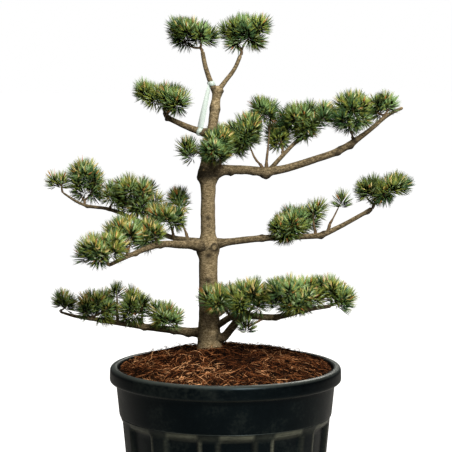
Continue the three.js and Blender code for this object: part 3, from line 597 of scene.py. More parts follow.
def bark_material(name, dark, mid, pale):
    """Colour = ramp(flecks) * cracks * scars * painted light and shade * youth, and bare wood where scar is
    negative.
    """
    made, tree, shader = blank_material(name, mid, 0.85)
    shader.inputs["Specular IOR Level"].default_value = 0.2
    where = add_node(tree, "TexCoord", "Object")
    normal = add_node(tree, "NewGeometry", "Normal")
    scar = add_node(tree, "Attribute", "Fac", attribute_name="scar")
    squashed = add_node(tree, "Mapping", "Vector", {"Vector": where, "Scale": (1, 1, 2.4)})
    stretched = add_node(tree, "Mapping", "Vector", {"Vector": where, "Scale": (1, 1, 0.45)})
    stops = [(0.37, dark), (0.48, mid), (0.59, pale), (0.7, [c * 1.7 for c in pale])]
    scales = colour_steps(tree, place_flecks(tree, squashed, 130.0, 560.0, 0.6), stops)
    net = {"Vector": stretched, "Scale": 210.0}
    crack = add_node(tree, "TexVoronoi", "Distance", net, feature="DISTANCE_TO_EDGE")
    rough = times(tree, remap(tree, crack, 0, 0.09, 0.68, 1), remap(tree, scar, 0.15, 0.9, 1, 0.2))
    # painted light and shade: the bark is lighter where it faces up towards the light and darker underneath
    facing_painted_light = add_node(tree, "VectorMath", "Value", {0: normal, 1: PAINTED_LIGHT_SIDE}, operation="DOT_PRODUCT")
    with_painted_light = times(tree, rough, remap(tree, facing_painted_light, -0.7, 0.8, 0.5, 1.45))
    height = add_node(tree, "SeparateXYZ", "Z", {"Vector": where})
    light = times(tree, with_painted_light, remap(tree, height, 1.0, 1.1, 1.0, 1.4))
    shaded = add_node(tree, "VectorMath", "Vector", {0: scales, "Scale": light}, operation="SCALE")
    colour = blend(tree, remap(tree, scar, -0.3, -0.8, 0, 1), shaded, BARE_WOOD)
    bump = add_node(tree, "Bump", "Normal", {"Strength": 0.7, "Distance": 0.0012, "Height": rough})
    tree.links.new(colour, shader.inputs["Base Color"])
    tree.links.new(bump, shader.inputs["Normal"])
    return made


trunk_bark = bark_material("trunk_bark", (0.038, 0.028, 0.012), (0.12, 0.09, 0.047), (0.305, 0.247, 0.156))
bough_bark = bark_material("bough_bark", (0.017, 0.012, 0.006), (0.053, 0.039, 0.019), (0.205, 0.163, 0.102))
print("barks:", trunk_bark.name, bough_bark.name)

# %% [markdown]
# ## Wood in two pieces
# The trunk is one mesh and all the boughs are another, because they have different bark and are
# looked at together. Joining tubes is stacking their points, and moving each tube's faces on by the
# points that stand before it. The scar values go along as an attribute of the points.

# %% Trunk and boughs
def join(parts):
    """Stacks (points, faces) parts into one pair: each part's faces move on by the points before it."""
    before = np.cumsum([0] + [len(points) for points, _ in parts])
    return np.vstack([p for p, _ in parts]), np.vstack([f + b for (_, f), b in zip(parts, before)])


def mark_points(piece, name, values):
    """Gives each point of a mesh a value that a material can read by its name."""
    mark = piece.data.attributes.new(name, "FLOAT", "POINT")
    mark.data.foreach_set("value", np.asarray(values, np.float32))


def bark_piece(name, tubes, material):
    """One mesh from limb tubes, with their scar values on its points."""
    points, faces = join([part[:2] for part in tubes])
    made = mesh_piece(name, points / 1000, faces, [material])
    mark_points(made, "scar", np.concatenate([part[2] for part in tubes]))
    print(name, "triangles:", len(faces))
    return made


trunk = bark_piece("trunk_with_bark", trunk_tubes, trunk_bark)
boughs = bark_piece("boughs_with_bark", bough_tubes, bough_bark)
for piece in (trunk, boughs):
    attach(piece, "root")
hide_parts("trunk")
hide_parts(*[n for n in LIMBS if n != "trunk"])

# %% [markdown]
# ## How a pad grows
# The rule is the one in the measured model. Shoots are spread over the pad's dome by the golden turn,
# and each joins the nearest twig that is there already, the nearest shoots first. The random numbers
# come from a small formula with a seed, so the tree is the same each time.

# %% Joining a twig
WAY_COST = 0.3  # how much the way back to the stem counts, beside the distance, in the choice of a joint
THINNER, JOINT_AT = 0.62, 0.55  # a twig's share of its parent's radius, and where its own joint lies


def random_from(seed):
    """Numbers between 0 and 1: state = state * 1664525 + 1013904223, kept to 32 bits."""
    state = (seed * 7919 + 12345) & 0xFFFFFFFF
    while True:
        state = (state * 1664525 + 1013904223) & 0xFFFFFFFF
        yield state / 4294967296


def join_twig(place, joints, twigs, tip):
    """A twig to place from the joint with the least distance + WAY_COST * path, and a new joint on it."""
    cost = [distance(joint, place) + WAY_COST * path for joint, path, _ in joints]
    foot, path, thick = joints[int(np.argmin(cost))]
    r = max(thick * THINNER, tip)
    twigs.append((foot, place, r, tip))
    joint = foot + (place - foot) * JOINT_AT
    joints.append((joint, path + distance(joint, foot), r * (1 - JOINT_AT) + tip * JOINT_AT))


trial = random_from(1)
print("first numbers:", [round(next(trial), 3) for _ in range(3)])

# %% [markdown]
# ## Main shoots
# A pad stands on one stem, which heads for a hub near the pad's underside. The stem forks lower here
# than in the model, two fifths of the way up, which gives the open fans of thin stems that the photo
# shows. Every third shoot lies in the pad's lower edge, so the pad looks full from the side.

# %% Grow the main shoots
NEEDLE = 28  # mm, a needle's length
GOLDEN = 2.399963  # the turn between one shoot and the next, in radians
ROOM = NEEDLE * np.array([0.85, 0.85, 1.0])  # what its needles add to a shoot's place, mm
LOWER_EDGE = -0.7  # how far down every third shoot lies, as a share of the pad's half height
HUB_AT, HUB_ALONE, HUB_HANGING = 0.45, 0.85, 0.6  # where the stem heads: share of the way to the middle
FORK = 0.4  # how far up its stem, as a share, the first twigs leave it
STEM_FOOT, STEM_FORK, STEM_STRONG = 4.8, 3.8, 5.2  # mm: radius at foot and fork, and for later twigs
MAIN_TIP, FINE_TIP = 1.3, 1.0  # mm, a twig's radius where its shoot begins
SHIFT = (8, 8, 6)  # mm, how far chance may move a shoot in all


def grow(pad, seed):
    """The pad's main shoots, as (place, way), the joints that later twigs may leave from, the twigs, as
    (from, to, radius at each end), and the fork. Shoot k is turned by k golden turns and lies
    sqrt((k + 0.5) / (n - 0.5)) of the way out, on the dome sqrt(1 - out^2) or, every third one, in the
    lower edge. Each is shifted by a few random millimetres. Then the whole pad leans by its rise."""
    limb, share, middle, half, rise, count = pad
    middle, half = np.array(middle, float), np.array(half, float)
    line, _, radius = (v[0] for v in along(LIMBS[limb], [share]))
    hub = line + (middle - line) * (HUB_ALONE if count == 1 else HUB_AT)
    hub[2] = max(min(hub[2], middle[2] - half[2] * 0.6), line[2] + radius + 8)
    if middle[2] < line[2]:
        hub = line + (middle - line) * HUB_HANGING
    k = np.arange(count)
    ring = np.sqrt((k + 0.5) / (count - 0.5)) if count > 1 else np.zeros(1)
    turn = k * GOLDEN + seed
    lift = np.where(k % 3 == 2, LOWER_EDGE, np.sqrt(np.clip(1 - ring**2, 0, 1)))
    out = np.stack([ring * np.cos(turn), ring * np.sin(turn), lift], -1)
    out *= np.maximum(half - ROOM, 0)
    chance = random_from(seed)
    draws = np.array([next(chance) for _ in range(5 * count)]).reshape(count, 5)
    out += (draws[:, :3] - 0.5) * SHIFT  # the measured model uses the other two draws
    heading = unit(np.column_stack([out[:, :2] / half[:2], 0.75 + 0.35 * lift]))
    out[:, 2] += rise * out[:, 0]
    mains = sorted(zip(middle + out, heading), key=lambda shoot: distance(shoot[0], hub))
    fork = line + (hub - line) * FORK
    joints, twigs = [(fork, 0, STEM_STRONG)], [(line, fork, min(STEM_FOOT, radius * 0.9), STEM_FORK)]
    for place, _ in mains:
        join_twig(place, joints, twigs, MAIN_TIP)
    return mains, joints, twigs, fork


grown = [grow(pad, number + 1) for number, pad in enumerate(PADS.values())]
print("main shoots:", sum(len(mains) for mains, *_ in grown))

# %% [markdown]
# ## Finer shoots
# On the real tree each pinched shoot breaks into several short ones, so a pad looks like a crowd of
# small brushes, one for about every two centimetres. The same rule goes on: the finer shoots are
# spread by the golden turn in four layers. Two lie on the dome, one at its waist and one underneath,
# where the pad narrows towards its stem. The gardener keeps the middle of the underside bare, so the
# shoots there are left out, and so are those that would hide the fork or stand on an earlier shoot.

# %% Finer shoots of one pad
rng = np.random.default_rng(11)
SHOOT_ROOM = 24  # mm between two finer shoots
NEAREST = 15  # mm, and no two nearer than this
THICK = 34  # mm, a pad with this half height gets one shoot for each square of SHOOT_ROOM
OPEN_UNDER = 0.4  # nearer its middle than this share of the way out, a pad is open underneath
FORK_ROOM = 22  # mm round the stem's first fork that stay bare
WAIST = -0.2  # height of the third layer, in half heights
UNDER, UNDER_RISE = -0.8, 0.25  # the same for the fourth layer, in the middle, and how it rises outwards
LAYER_REACH = np.array([1, 1, 1, 0.8])  # how far out each layer goes
LAYER_UP = np.array([1.05, 1.05, 0.6, -0.05])  # how far up the shoots of a layer point
STRAY, SWAY = 2.5, 0.14  # what chance adds to a place, in mm, and to a way


def finer_shoots(pad, number, fork):
    """Places and ways, nearest the fork first. Shoot k of n is turned by k + 3 golden turns and lies
    sqrt((k + 0.5) / n) of the way out. It points outwards and up, by its layer, k mod 4."""
    _, _, middle, half, rise, mains = pad
    middle, half = np.array(middle, float), np.array(half, float)
    count = int(np.pi * half[0] * half[1] * (half[2] / THICK) / SHOOT_ROOM**2) if mains > 1 else 3
    k = np.arange(count)
    layer = k % 4
    ring, turn = np.sqrt((k + 0.5) / count), (k + 3) * GOLDEN + number
    dome, under = (half[2] - NEEDLE) * np.sqrt(1 - ring**2), (UNDER_RISE * ring + UNDER) * half[2]
    height = np.select([layer < 2, layer == 2], [dome, WAIST * half[2]], under)
    side = np.maximum(half[:2] - NEEDLE * 0.8, 0)
    flat = np.stack([ring * np.cos(turn), ring * np.sin(turn)], -1) * side * LAYER_REACH[layer, None]
    out = np.column_stack([flat, height])
    out += rng.normal(0, STRAY, out.shape)
    heading = np.column_stack([out[:, :2] / half[:2], LAYER_UP[layer]]) + rng.normal(0, SWAY, out.shape)
    out[:, 2] += rise * out[:, 0]
    from_fork = distance(middle + out, fork)
    wanted = ((layer < 3) | (ring > OPEN_UNDER)) & (from_fork > FORK_ROOM)
    order = np.argsort(from_fork)
    order = order[wanted[order]]
    return (middle + out)[order], unit(heading[order])


print("layers:", len(LAYER_UP))

# %% [markdown]
# ## Filling the pads
# The finer shoots are tried one after the other, from the fork outwards, because each grows on what
# is there already. For each shoot its place, its way, its height in the pad and the pad's number are
# kept, since its needles and their colours follow from these.

# %% Fill each pad
rows, twigs = [], []
for number, (pad, (crowd, joints, made, fork)) in enumerate(zip(PADS.values(), grown)):
    for place, way in zip(*finer_shoots(pad, number, fork)):
        if min(distance(place, other) for other, _ in crowd) >= NEAREST:
            crowd.append((place, way))
            join_twig(place, joints, made, FINE_TIP)
    _, _, middle, half, rise, _ = pad
    for place, way in crowd:
        lean = rise * (place[0] - middle[0])
        rows.append([*place, *way, (place[2] - lean - middle[2]) / half[2], number])
    twigs += made
rows = np.array(rows)
shoot_place, shoot_way = rows[:, :3], rows[:, 3:6]
shoot_low, shoot_pad = rows[:, 6], rows[:, 7].astype(int)
print("shoots:", len(rows), "twigs:", len(twigs))

# %% [markdown]
# ## Twigs
# Twigs are thin, crooked and rough with the scars of old needles. Each is a tube of a few five-sided
# rings that sags a little between its ends. All of them are worked out together: one array of feet,
# one of tips, and the ring corners by broadcasting.

# %% Twig shapes
TWIG_RINGS, TWIG_SIDES = 6, 5
CROOK, SAG = 0.05, 0.24  # shares of the twig's length


def many_tubes(count, rings, sides):
    """The faces of many equal tubes, one after the other, with a fan over each end."""
    foot = np.array([[0, q + 1, q] for q in range(1, sides - 1)])
    head = foot[:, ::-1] + (rings - 1) * sides
    one = np.vstack([side_faces(rings, sides), foot, head])
    return (one[None] + (np.arange(count) * rings * sides)[:, None, None]).reshape(-1, 3)


def twig_points(feet, tips, r0, r1):
    """Ring corners of all twigs, along foot + (tip - foot) * s + crook * sin(pi * s) - sag * s(1 - s).
    The radius runs from r0 to r1, roughened a little."""
    s = np.linspace(0, 1, TWIG_RINGS)[None, :, None]
    way = tips - feet
    length = np.linalg.norm(way, axis=1)[:, None, None]
    crook = rng.normal(0, CROOK, (len(feet), 1, 3)) * length
    sag = np.array([0, 0, SAG]) * length
    line = feet[:, None] + way[:, None] * s + crook * np.sin(s * np.pi) - sag * s * (1 - s)
    d = unit(way)
    n = unit(np.cross(d, [0.31, 0.72, 0.62]))
    ring = around(full_turn(TWIG_SIDES), n, np.cross(d, n))
    r = (r0[:, None] + (r1 - r0)[:, None] * s[0, :, 0]) * rng.uniform(0.82, 1.2, (len(feet), TWIG_RINGS))
    return line[:, :, None] + ring[:, None] * r[:, :, None, None]


print("triangles of one twig:", len(many_tubes(1, TWIG_RINGS, TWIG_SIDES)))

# %% [markdown]
# ## The twigs' bark
# The twigs are paler and browner than the boughs. One mesh holds them all, and an even speckle is
# enough for their colour, since each is only a few pixels wide in the picture.

# %% Twig piece
ends = [np.array([twig[i] for twig in twigs], float) for i in range(4)]
twig_stops = [(0.35, (0.045, 0.03, 0.016)), (0.55, (0.13, 0.085, 0.042)), (0.75, (0.27, 0.19, 0.11))]
twig_bark, _ = flecked_material("twig_bark", (0.11, 0.07, 0.035), 0.85, (120.0, 600.0, 0.5), twig_stops)
twig_faces = many_tubes(len(twigs), TWIG_RINGS, TWIG_SIDES)
twig_piece = mesh_piece("twigs", twig_points(*ends).reshape(-1, 3) / 1000, twig_faces, [twig_bark])
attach(twig_piece, "root")
print("twig triangles:", len(twig_faces))

# %% [markdown]
# ## Needles
# White pine needles come in bundles of five, about 28 mm long, packed along the last 16 mm of a shoot
# like the hairs of a bottle brush. The bundles near the tip point ahead and those lower down stand
# out to the side. From a step away the eye sees the bundles as strands, so the five stay close. Each
# needle is three-sided, bends a little at its middle and is pointed at both ends: six triangles.

# %% Needle shapes
BUNDLES, PER_BUNDLE = 72, 5
NEEDLED = 16  # mm of a shoot that carry needles
SHOOT_RADIUS, NEEDLE_RADIUS = 0.9, 0.5  # mm, the second at a needle's middle
LEANS, LEAN_BEND = (6, 88), 0.72  # degrees from the shoot, at its tip and at its back, and the curve between
SPLAY = 0.036  # how far the five of a bundle stand apart
THIRDS = (0, 2.094, 4.189)
NEEDLE_FACES = np.array([[0, 2, 1], [0, 3, 2], [0, 1, 3], [1, 2, 4], [2, 3, 4], [3, 1, 4]])


def needle_arrays(place, way, size):
    """Corners (shoots, bundles, 5, 5, 3). Bundle k leaves the shoot NEEDLED * k / BUNDLES back from its
    tip, turned by k golden turns, and leans more the further back it is. Ways steeper down than -0.5 are
    eased. A needle runs root + heading * s + lift * s^2 / 2; its three middle corners stand round it."""
    count = len(place)
    shape = (count, BUNDLES, PER_BUNDLE)
    order = (np.arange(BUNDLES) + 0.5) / BUNDLES
    lean = np.radians(LEANS[0] + (LEANS[1] - LEANS[0]) * order**LEAN_BEND)[None]
    lean = lean + rng.normal(0, 0.09, shape[:2])
    turn = np.arange(BUNDLES)[None] * GOLDEN + rng.uniform(0, 6.28, (count, 1))
    turn = turn + rng.normal(0, 0.2, shape[:2])
    n = unit(np.cross(way, [0.2, 0.3, 0.93]))
    out = around(turn, n, np.cross(way, n))
    heading = np.cos(lean)[..., None] * way[:, None] + np.sin(lean)[..., None] * out
    heading[..., 2] = np.maximum(heading[..., 2], 0.6 * heading[..., 2] - 0.2)
    root = place[:, None] - way[:, None] * (order * NEEDLED)[None, :, None] + out * SHOOT_RADIUS
    heading = unit(heading[:, :, None] + rng.normal(0, SPLAY, (*shape, 3)))
    length = size[:, None, None] * rng.uniform(0.84, 1.06, (count, BUNDLES, 1))
    length = (length * rng.uniform(0.92, 1.04, shape))[..., None]
    lift = way[:, None, None] * 0.1 + np.array([0, 0, 0.06]) + rng.normal(0, 0.02, (*shape, 3))
    root = root[:, :, None] + 0 * heading
    middle = root + heading * length * 0.46 + lift * length * 0.12
    tip = root + heading * length + lift * length * 0.5
    side = unit(np.cross(heading, rng.normal(0, 1, heading.shape)))
    up = np.cross(heading, side)
    round_middle = [middle + (np.cos(a) * side + np.sin(a) * up) * NEEDLE_RADIUS for a in THIRDS]
    return np.stack([root, *round_middle, tip], axis=-2)


print("needles on a shoot:", BUNDLES * PER_BUNDLE)

# %% [markdown]
# ## Needle colours
# A pad isn't one green. Its top is yellow-green with straw and orange tips, its sides olive to
# blue-green, and its inside almost black, partly with painted shade. So there are eleven plain
# colours. Each brush leans to a few of them, and each bundle in it gets a pair, by its height in the
# pad and by chance: one colour for the root half and one for the outer half, the darker root half
# partly painted shade. Straw and orange show only where bundles point ahead.

# %% Needle palette
def tint(name, srgb, roughness=0.5, shine=0.1):
    """A plain colour given as it looks on a screen, 0 to 255, turned to linear light."""
    c = np.array(srgb) / 255
    linear = np.where(c <= 0.04045, c / 12.92, ((c + 0.055) / 1.055) ** 2.4)
    made, _, shader = blank_material(name, linear, roughness)
    shader.inputs["Specular IOR Level"].default_value = shine
    return made


PALETTE = [
    tint("needle_deep", (18, 23, 7)), tint("needle_shade", (40, 50, 17)),
    tint("needle_green", (76, 94, 40)), tint("needle_blue", (56, 84, 50)),
    tint("needle_silver", (166, 184, 146), 0.45), tint("needle_fresh", (126, 138, 64)),
    tint("needle_yellow", (166, 150, 80)), tint("needle_straw", (202, 184, 128)),
    tint("needle_rust", (158, 106, 54)), tint("needle_pale_blue", (112, 140, 88), 0.45),
    tint("needle_moss", (100, 108, 44)),
]
DEEP, SHADE, GREEN, BLUE, SILVER, FRESH, YELLOW, STRAW, RUST, PALE_BLUE, MOSS = range(11)
PAIRS = np.array([  # root colour, outer colour, chance low in the pad, chance at its top
    [DEEP, SHADE, 24, 4], [DEEP, GREEN, 18, 10], [DEEP, BLUE, 24, 19], [SHADE, PALE_BLUE, 10, 17],
    [SHADE, FRESH, 8, 16], [SHADE, MOSS, 8, 9], [DEEP, MOSS, 8, 5],
    [BLUE, SILVER, 5, 9], [SHADE, YELLOW, 2, 12], [GREEN, STRAW, 2, 12], [SHADE, RUST, 3, 10],
])
print("needle colours:", len(PALETTE), "pairs:", len(PAIRS))

# %% [markdown]
# ## Dealing the colours
# Mixing the pairs evenly would make grey noise. On the tree a brush is mostly of one kind, and young
# tops are paler than shaded undersides; that is partly painted light and shade. Whole pads are
# painted lighter or darker for the light and shade that fall on them. So chance deals the pairs by
# height, by brush and by pad.

# %% Deal a pair to each bundle
COMMON = 7  # the pairs before this one can be a whole brush's main pair
FRONT = 33  # only the bundles up to this one, which point ahead, get the yellow and orange tips
WITHOUT_TIPS = 3  # the pair that the others take instead
LOWEST, SPAN = -0.55, 1.05  # in half heights: where a pad is darkest, and how far up it is palest
# painted light and shade on whole pads: how much further up its range of colours a pad lies
# than the rest, by the first words of its name
PAD_PAINTED_LIGHT = {
    "pad_top": -1, "pad_top_left": 0.35, "pad_upper": -0.35, "pad_right": -0.3, "pad_crown": -0.15,
    "pad_mid": -0.3, "pad_back": 0.55, "pad_back_tip": -0.5, "pad_front": 0.7,
    "pad_low_right": 0.3, "pad_low_right_sprig": -0.6, "pad_low_left": -0.05,
    "pad_low_left_middle": -0.25, "pad_low_left_spire": 0.1,
}


def deal_colours(low, paler):
    """For each shoot, a pair for each bundle. The chances slide with height in the pad. A brush draws one
    main pair, and each bundle takes it or, half of the time, draws again."""
    # partly painted light and shade: darker pairs are likelier low in a pad, and each pad's shift makes it
    # lighter or darker
    share = np.clip((low - LOWEST) / SPAN + paler, 0, 1)[:, None]
    chance = PAIRS[:, 2] / PAIRS[:, 2].sum() * (1 - share) + PAIRS[:, 3] / PAIRS[:, 3].sum() * share
    steps = np.cumsum(chance, axis=1)[:, None]
    main = (rng.uniform(0, 1, (len(low), 1, 1)) > steps).sum(-1)
    own = (rng.uniform(0, 1, (len(low), BUNDLES, 1)) > steps).sum(-1)
    own = np.where((own > COMMON) & (np.arange(BUNDLES)[None] > FRONT), WITHOUT_TIPS, own)
    kept = (rng.uniform(0, 1, own.shape) < 0.5) & (main < COMMON)
    return np.where(kept, main, own).clip(0, len(PAIRS) - 1)


print("pads with their own tone:", len(PAD_PAINTED_LIGHT))

# %% [markdown]
# ## Needles in pieces
# There are about 150,000 needles, too many for one mesh that other tools must open. They are joined
# in pieces of 92 shoots, each a single mesh. Every pad of the measured model is replaced by the piece
# in which its shoots begin.

# %% Make the needle pieces
PIECE = 92  # shoots in one joined piece
LONGER = (1.08, 1.24)  # the length of a shoot's needles, as a share of NEEDLE
names = list(PADS)
pad_painted_light = np.array([sum(v for key, v in PAD_PAINTED_LIGHT.items() if name.startswith(key)) for name in names])
triangles = 0
for start in range(0, len(shoot_place), PIECE):
    some = slice(start, start + PIECE)
    place, way = shoot_place[some], shoot_way[some]
    size = NEEDLE * rng.uniform(*LONGER, len(place))
    corners = needle_arrays(place, way, size).reshape(-1, 5, 3)
    pair = np.repeat(deal_colours(shoot_low[some], pad_painted_light[shoot_pad[some]]), PER_BUNDLE, axis=1).ravel()
    pick = np.repeat(PAIRS[pair][:, :2], 3, axis=1).ravel()
    faces = (NEEDLE_FACES[None] + (np.arange(len(corners)) * 5)[:, None, None]).reshape(-1, 3)
    piece = mesh_piece(f"needles_{start // PIECE + 1}", corners.reshape(-1, 3) / 1000, faces, PALETTE, pick)
    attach(piece, "root")
    begun = [i for i in sorted(set(shoot_pad[some])) if i not in set(shoot_pad[:start])]
    if begun:
        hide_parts(*[names[i] for i in begun])
    triangles += len(faces)
print("needle triangles:", triangles)

# %% [markdown]
# ## The pot
# The container is blow-moulded black plastic with a thick rolled rim. No edge of such a thing is
# sharp, so its profile is rounded at each corner before it is swept round. A lathe modifier could do
# the sweep, but the panels need a grid that can be pushed in, so the profile is kept as an array.

# %% Profile helpers
def soft_step(x, low, high):
    """0 below low, 1 above high, and 3t^2 - 2t^3 between."""
    t = np.clip((x - low) / (high - low), 0, 1)
    return t * t * (3 - 2 * t)


def round_profile(corners, radius, pieces=6):
    """A profile whose listed corners are rounded: each is cut back by its radius along both sides and
    bridged by a quadratic curve (1 - t)^2 a + 2t(1 - t) b + t^2 c."""
    corners = np.array(corners, float)
    made = [corners[:1]]
    t = np.linspace(0, 1, pieces)[:, None]
    for a, b, c, r in zip(corners[:-2], corners[1:-1], corners[2:], radius):
        p, q = b + unit(a - b) * r, b + unit(c - b) * r
        made.append((1 - t) ** 2 * p + 2 * t * (1 - t) * b + t**2 * q)
    return np.vstack([*made, corners[-1:]])


def divide(profile, longest):
    """Adds points so that no step along the profile is longer than given."""
    rows = []
    for a, b in zip(profile[:-1], profile[1:]):
        n = max(1, int(np.ceil(distance(a, b) / longest)))
        rows += [a + (b - a) * k / n for k in range(n)]
    return np.array(rows + [profile[-1]])


print("half way up a soft step:", soft_step(0.5, 0, 1))

# %% [markdown]
# ## The pot's wall and panels
# Under the rim comes a smooth band, then twelve sunk panels with ribs between them. The surface is
# one grid, angle by profile. The panels are pushed in where two soft-edged steps, one round the pot
# and one up its wall, are both on. The inside is the second half of the profile, so the wall has its
# real thickness.

# %% Pot shape
SIDES = 360
PANEL_EVERY, PANEL_FIRST = 30, 6  # degrees
PANEL_SIDE, RIB_SIDE = (8.3, 9.6), (9.6, 10.4)  # degrees from a panel's middle to its slope and the rib's
PANEL_DEEP, PANEL_FOOT, PANEL_TOP = 9, (24, 34), (290, 303)  # mm: depth, and the heights of its slopes
RIB, RIB_FOOT, RIB_TOP = 0.7, (20, 30), (296, 306)  # the same for the ribs
WALL = [  # radius, height, mm: up the outside, over the rim, down the inside
    (1, 0), (224, 0), (252.5, 306), (257, 314), (265, 393), (280, 394), (279, 430), (261, 430),
    (259, 410), (254, 325), (239.5, 300), (211, 6), (1, 6),
]
profile = divide(round_profile(WALL, [5, 8, 4, 5, 7, 11, 6, 4, 6, 8, 4]), 9)
turn = np.linspace(0, 2 * np.pi, SIDES, endpoint=False)
r, z = profile[:, 0][:, None], profile[:, 1][:, None]
from_panel = (np.degrees(turn)[None] - PANEL_FIRST + PANEL_EVERY / 2) % PANEL_EVERY - PANEL_EVERY / 2
apart = np.abs(from_panel)
outside = (np.arange(len(profile)) < np.argmax(profile[:, 1]))[:, None] & (r > 205)
across = 1 - soft_step(apart, *PANEL_SIDE)
upward = soft_step(z, *PANEL_FOOT) * (1 - soft_step(z, *PANEL_TOP))
sunk = PANEL_DEEP * across * upward * outside
rib = RIB * soft_step(apart, *RIB_SIDE) * soft_step(z, *RIB_FOOT) * (1 - soft_step(z, *RIB_TOP)) * outside
radius, angle = r - sunk + rib, turn[None] - np.pi / 2
pot_grid = np.stack([radius * np.cos(angle), radius * np.sin(angle), z + 0 * radius], -1)
pot_points = np.vstack([pot_grid.reshape(-1, 3), [[0, 0, 0], [0, 0, 6]]])
pot_faces = round_faces(len(profile), SIDES)
print("pot triangles:", len(pot_faces))

# %% [markdown]
# ## Painted highlights and a pale ledge on the pot
# The plastic is paler on the ledge over the panels, and painted highlights lie on the outer edge of
# each panel and along a thin line under the rim. Where that is follows from the same steps as the
# shape, so it is kept as a value on each point, which the material reads.

# %% Where the pot has painted highlights and a pale ledge
LEDGE_AT, LIP_AT, EDGE_AT = (294, 301, 308, 313), (390, 393, 396, 399), 10  # mm, mm and degrees
# painted highlight on each panel's edges, strongest on the edge that lies away from the front's middle
lit_outer_edge = (from_panel > 0) == (np.sin(turn)[None] < 0)
edge = 0.75 * np.clip(1.5 - np.abs(apart - EDGE_AT), 0, 1) * upward * (0.2 + 0.8 * lit_outer_edge)
ledge = soft_step(z, *LEDGE_AT[:2]) * (1 - soft_step(z, *LEDGE_AT[2:])) * (0.12 + 0.6 * across)
# painted highlight: a thin pale line under the rim
lip = 0.12 * soft_step(z, *LIP_AT[:2]) * (1 - soft_step(z, *LIP_AT[2:]))
highlights_and_pale_ledge = np.clip(np.maximum(np.maximum(edge, ledge), lip), 0, 1) * outside
print("worn share of the pot:", round(float((highlights_and_pale_ledge > 0.1).mean()), 3))

# %% [markdown]
# ## Pot plastic
# The plastic is charcoal with a satin skin. The rim's top catches a blue-grey sheen, part reflection
# and part painted sheen, and some dust, and the edges with painted highlights are paler. Roughness
# follows the flecks so that reflections break up, and a second, stretched noise draws fine scuffs,
# also in the painted highlights and the ledge.

# %% Pot material and piece
# colours of the scuffs, of dust with a painted sheen, and of the painted highlights and the pale ledge
SCUFF, DUST_AND_SHEEN, HIGHLIGHT_AND_LEDGE = (0.035, 0.035, 0.03), (0.035, 0.042, 0.04), (0.12, 0.125, 0.095)
CHARCOAL = [(0.4, (0.0001, 0.0004, 0.0006)), (0.52, (0.0008, 0.0016, 0.002)), (0.66, (0.009, 0.0115, 0.0105))]
pot_plastic, tree, shader = blank_material("charcoal_plastic", (0.005, 0.006, 0.0065), 0.45)
shader.inputs["Specular IOR Level"].default_value = 0.12
shader.inputs["Specular Tint"].default_value = (0.55, 0.82, 1.0, 1)
where = add_node(tree, "TexCoord", "Object")
patches = place_flecks(tree, where, 9.0, 130.0, 0.35)
stretched = add_node(tree, "Mapping", "Vector", {"Vector": where, "Scale": (1, 1, 5)})
grain = {"Vector": stretched, "Scale": 34.0, "Detail": 8.0, "Roughness": 0.75}
scuff = add_node(tree, "TexNoise", "Fac", grain)
normal = add_node(tree, "NewGeometry", "Normal")
# paler where a face lies flat: dust, and on the rim's top also a painted blue-grey sheen
lying_dust_and_sheen = remap(tree, add_node(tree, "SeparateXYZ", "Z", {"Vector": normal}), 0.25, 0.9, 0, 0.8)
# painted highlights and the pale ledge, from the values kept on the points
highlights_and_ledge_mask = add_node(tree, "Attribute", "Fac", attribute_name="highlights_and_pale_ledge")
highlights_and_ledge_scuffed = times(tree, highlights_and_ledge_mask, remap(tree, scuff, 0.3, 0.6, 0.25, 1))
scuffed = blend(tree, remap(tree, scuff, 0.66, 0.8, 0, 0.6), colour_steps(tree, patches, CHARCOAL), SCUFF)
colour = blend(tree, highlights_and_ledge_scuffed, blend(tree, lying_dust_and_sheen, scuffed, DUST_AND_SHEEN), HIGHLIGHT_AND_LEDGE)
bump = add_node(tree, "Bump", "Normal", {"Strength": 0.25, "Distance": 0.0006, "Height": scuff})
tree.links.new(colour, shader.inputs["Base Color"])
tree.links.new(remap(tree, patches, 0.3, 0.7, 0.24, 0.46), shader.inputs["Roughness"])
tree.links.new(bump, shader.inputs["Normal"])
pot_piece = mesh_piece("ribbed_pot", pot_points / 1000, pot_faces, [pot_plastic])
mark_points(pot_piece, "highlights_and_pale_ledge", np.append(highlights_and_pale_ledge.ravel(), [0, 0]))
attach(pot_piece, "root")
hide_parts("pot")
print("pot plastic and piece:", pot_plastic.name, pot_piece.name)

# %% [markdown]
# ## Soil and bark mulch
# The root ball rises in a mound to the trunk and is covered with shredded bark: dark crumbs below,
# and loose red-brown to orange fibres lying every way on top. The mound is one closed grid with
# crumbly noise.

# %% Mound shape
MULCH_EDGE, MULCH_CROWN, BRIM = 421, 459, 258.8  # mm: heights at the wall and the trunk, and the radius
MOUND_RINGS, MOUND_SIDES = 150, 300
CRUMBS = [(9, 21, 2.6), (4, 22, 1.8)]  # mm across, seed, mm high


def mound_height(x, y):
    """Height of the soil: crown - (crown - edge) * out^3, plus three slow waves that fade at the rim and a
    heap 18 * exp(-(d / 60)^2) in front of the trunk."""
    out = np.hypot(x, y) / BRIM
    wave = np.sin(x / 31 + 1.3) * np.cos(y / 27) + 0.6 * np.sin((x + 2 * y) / 44)
    heap = 18 * np.exp(-(((x + 30) / 60) ** 2) - ((y + 35) / 60) ** 2)
    slope = MULCH_CROWN - (MULCH_CROWN - MULCH_EDGE) * np.minimum(out, 1) ** 3
    return slope + 5 * wave * np.clip(2 - 2 * out, 0, 1) + heap


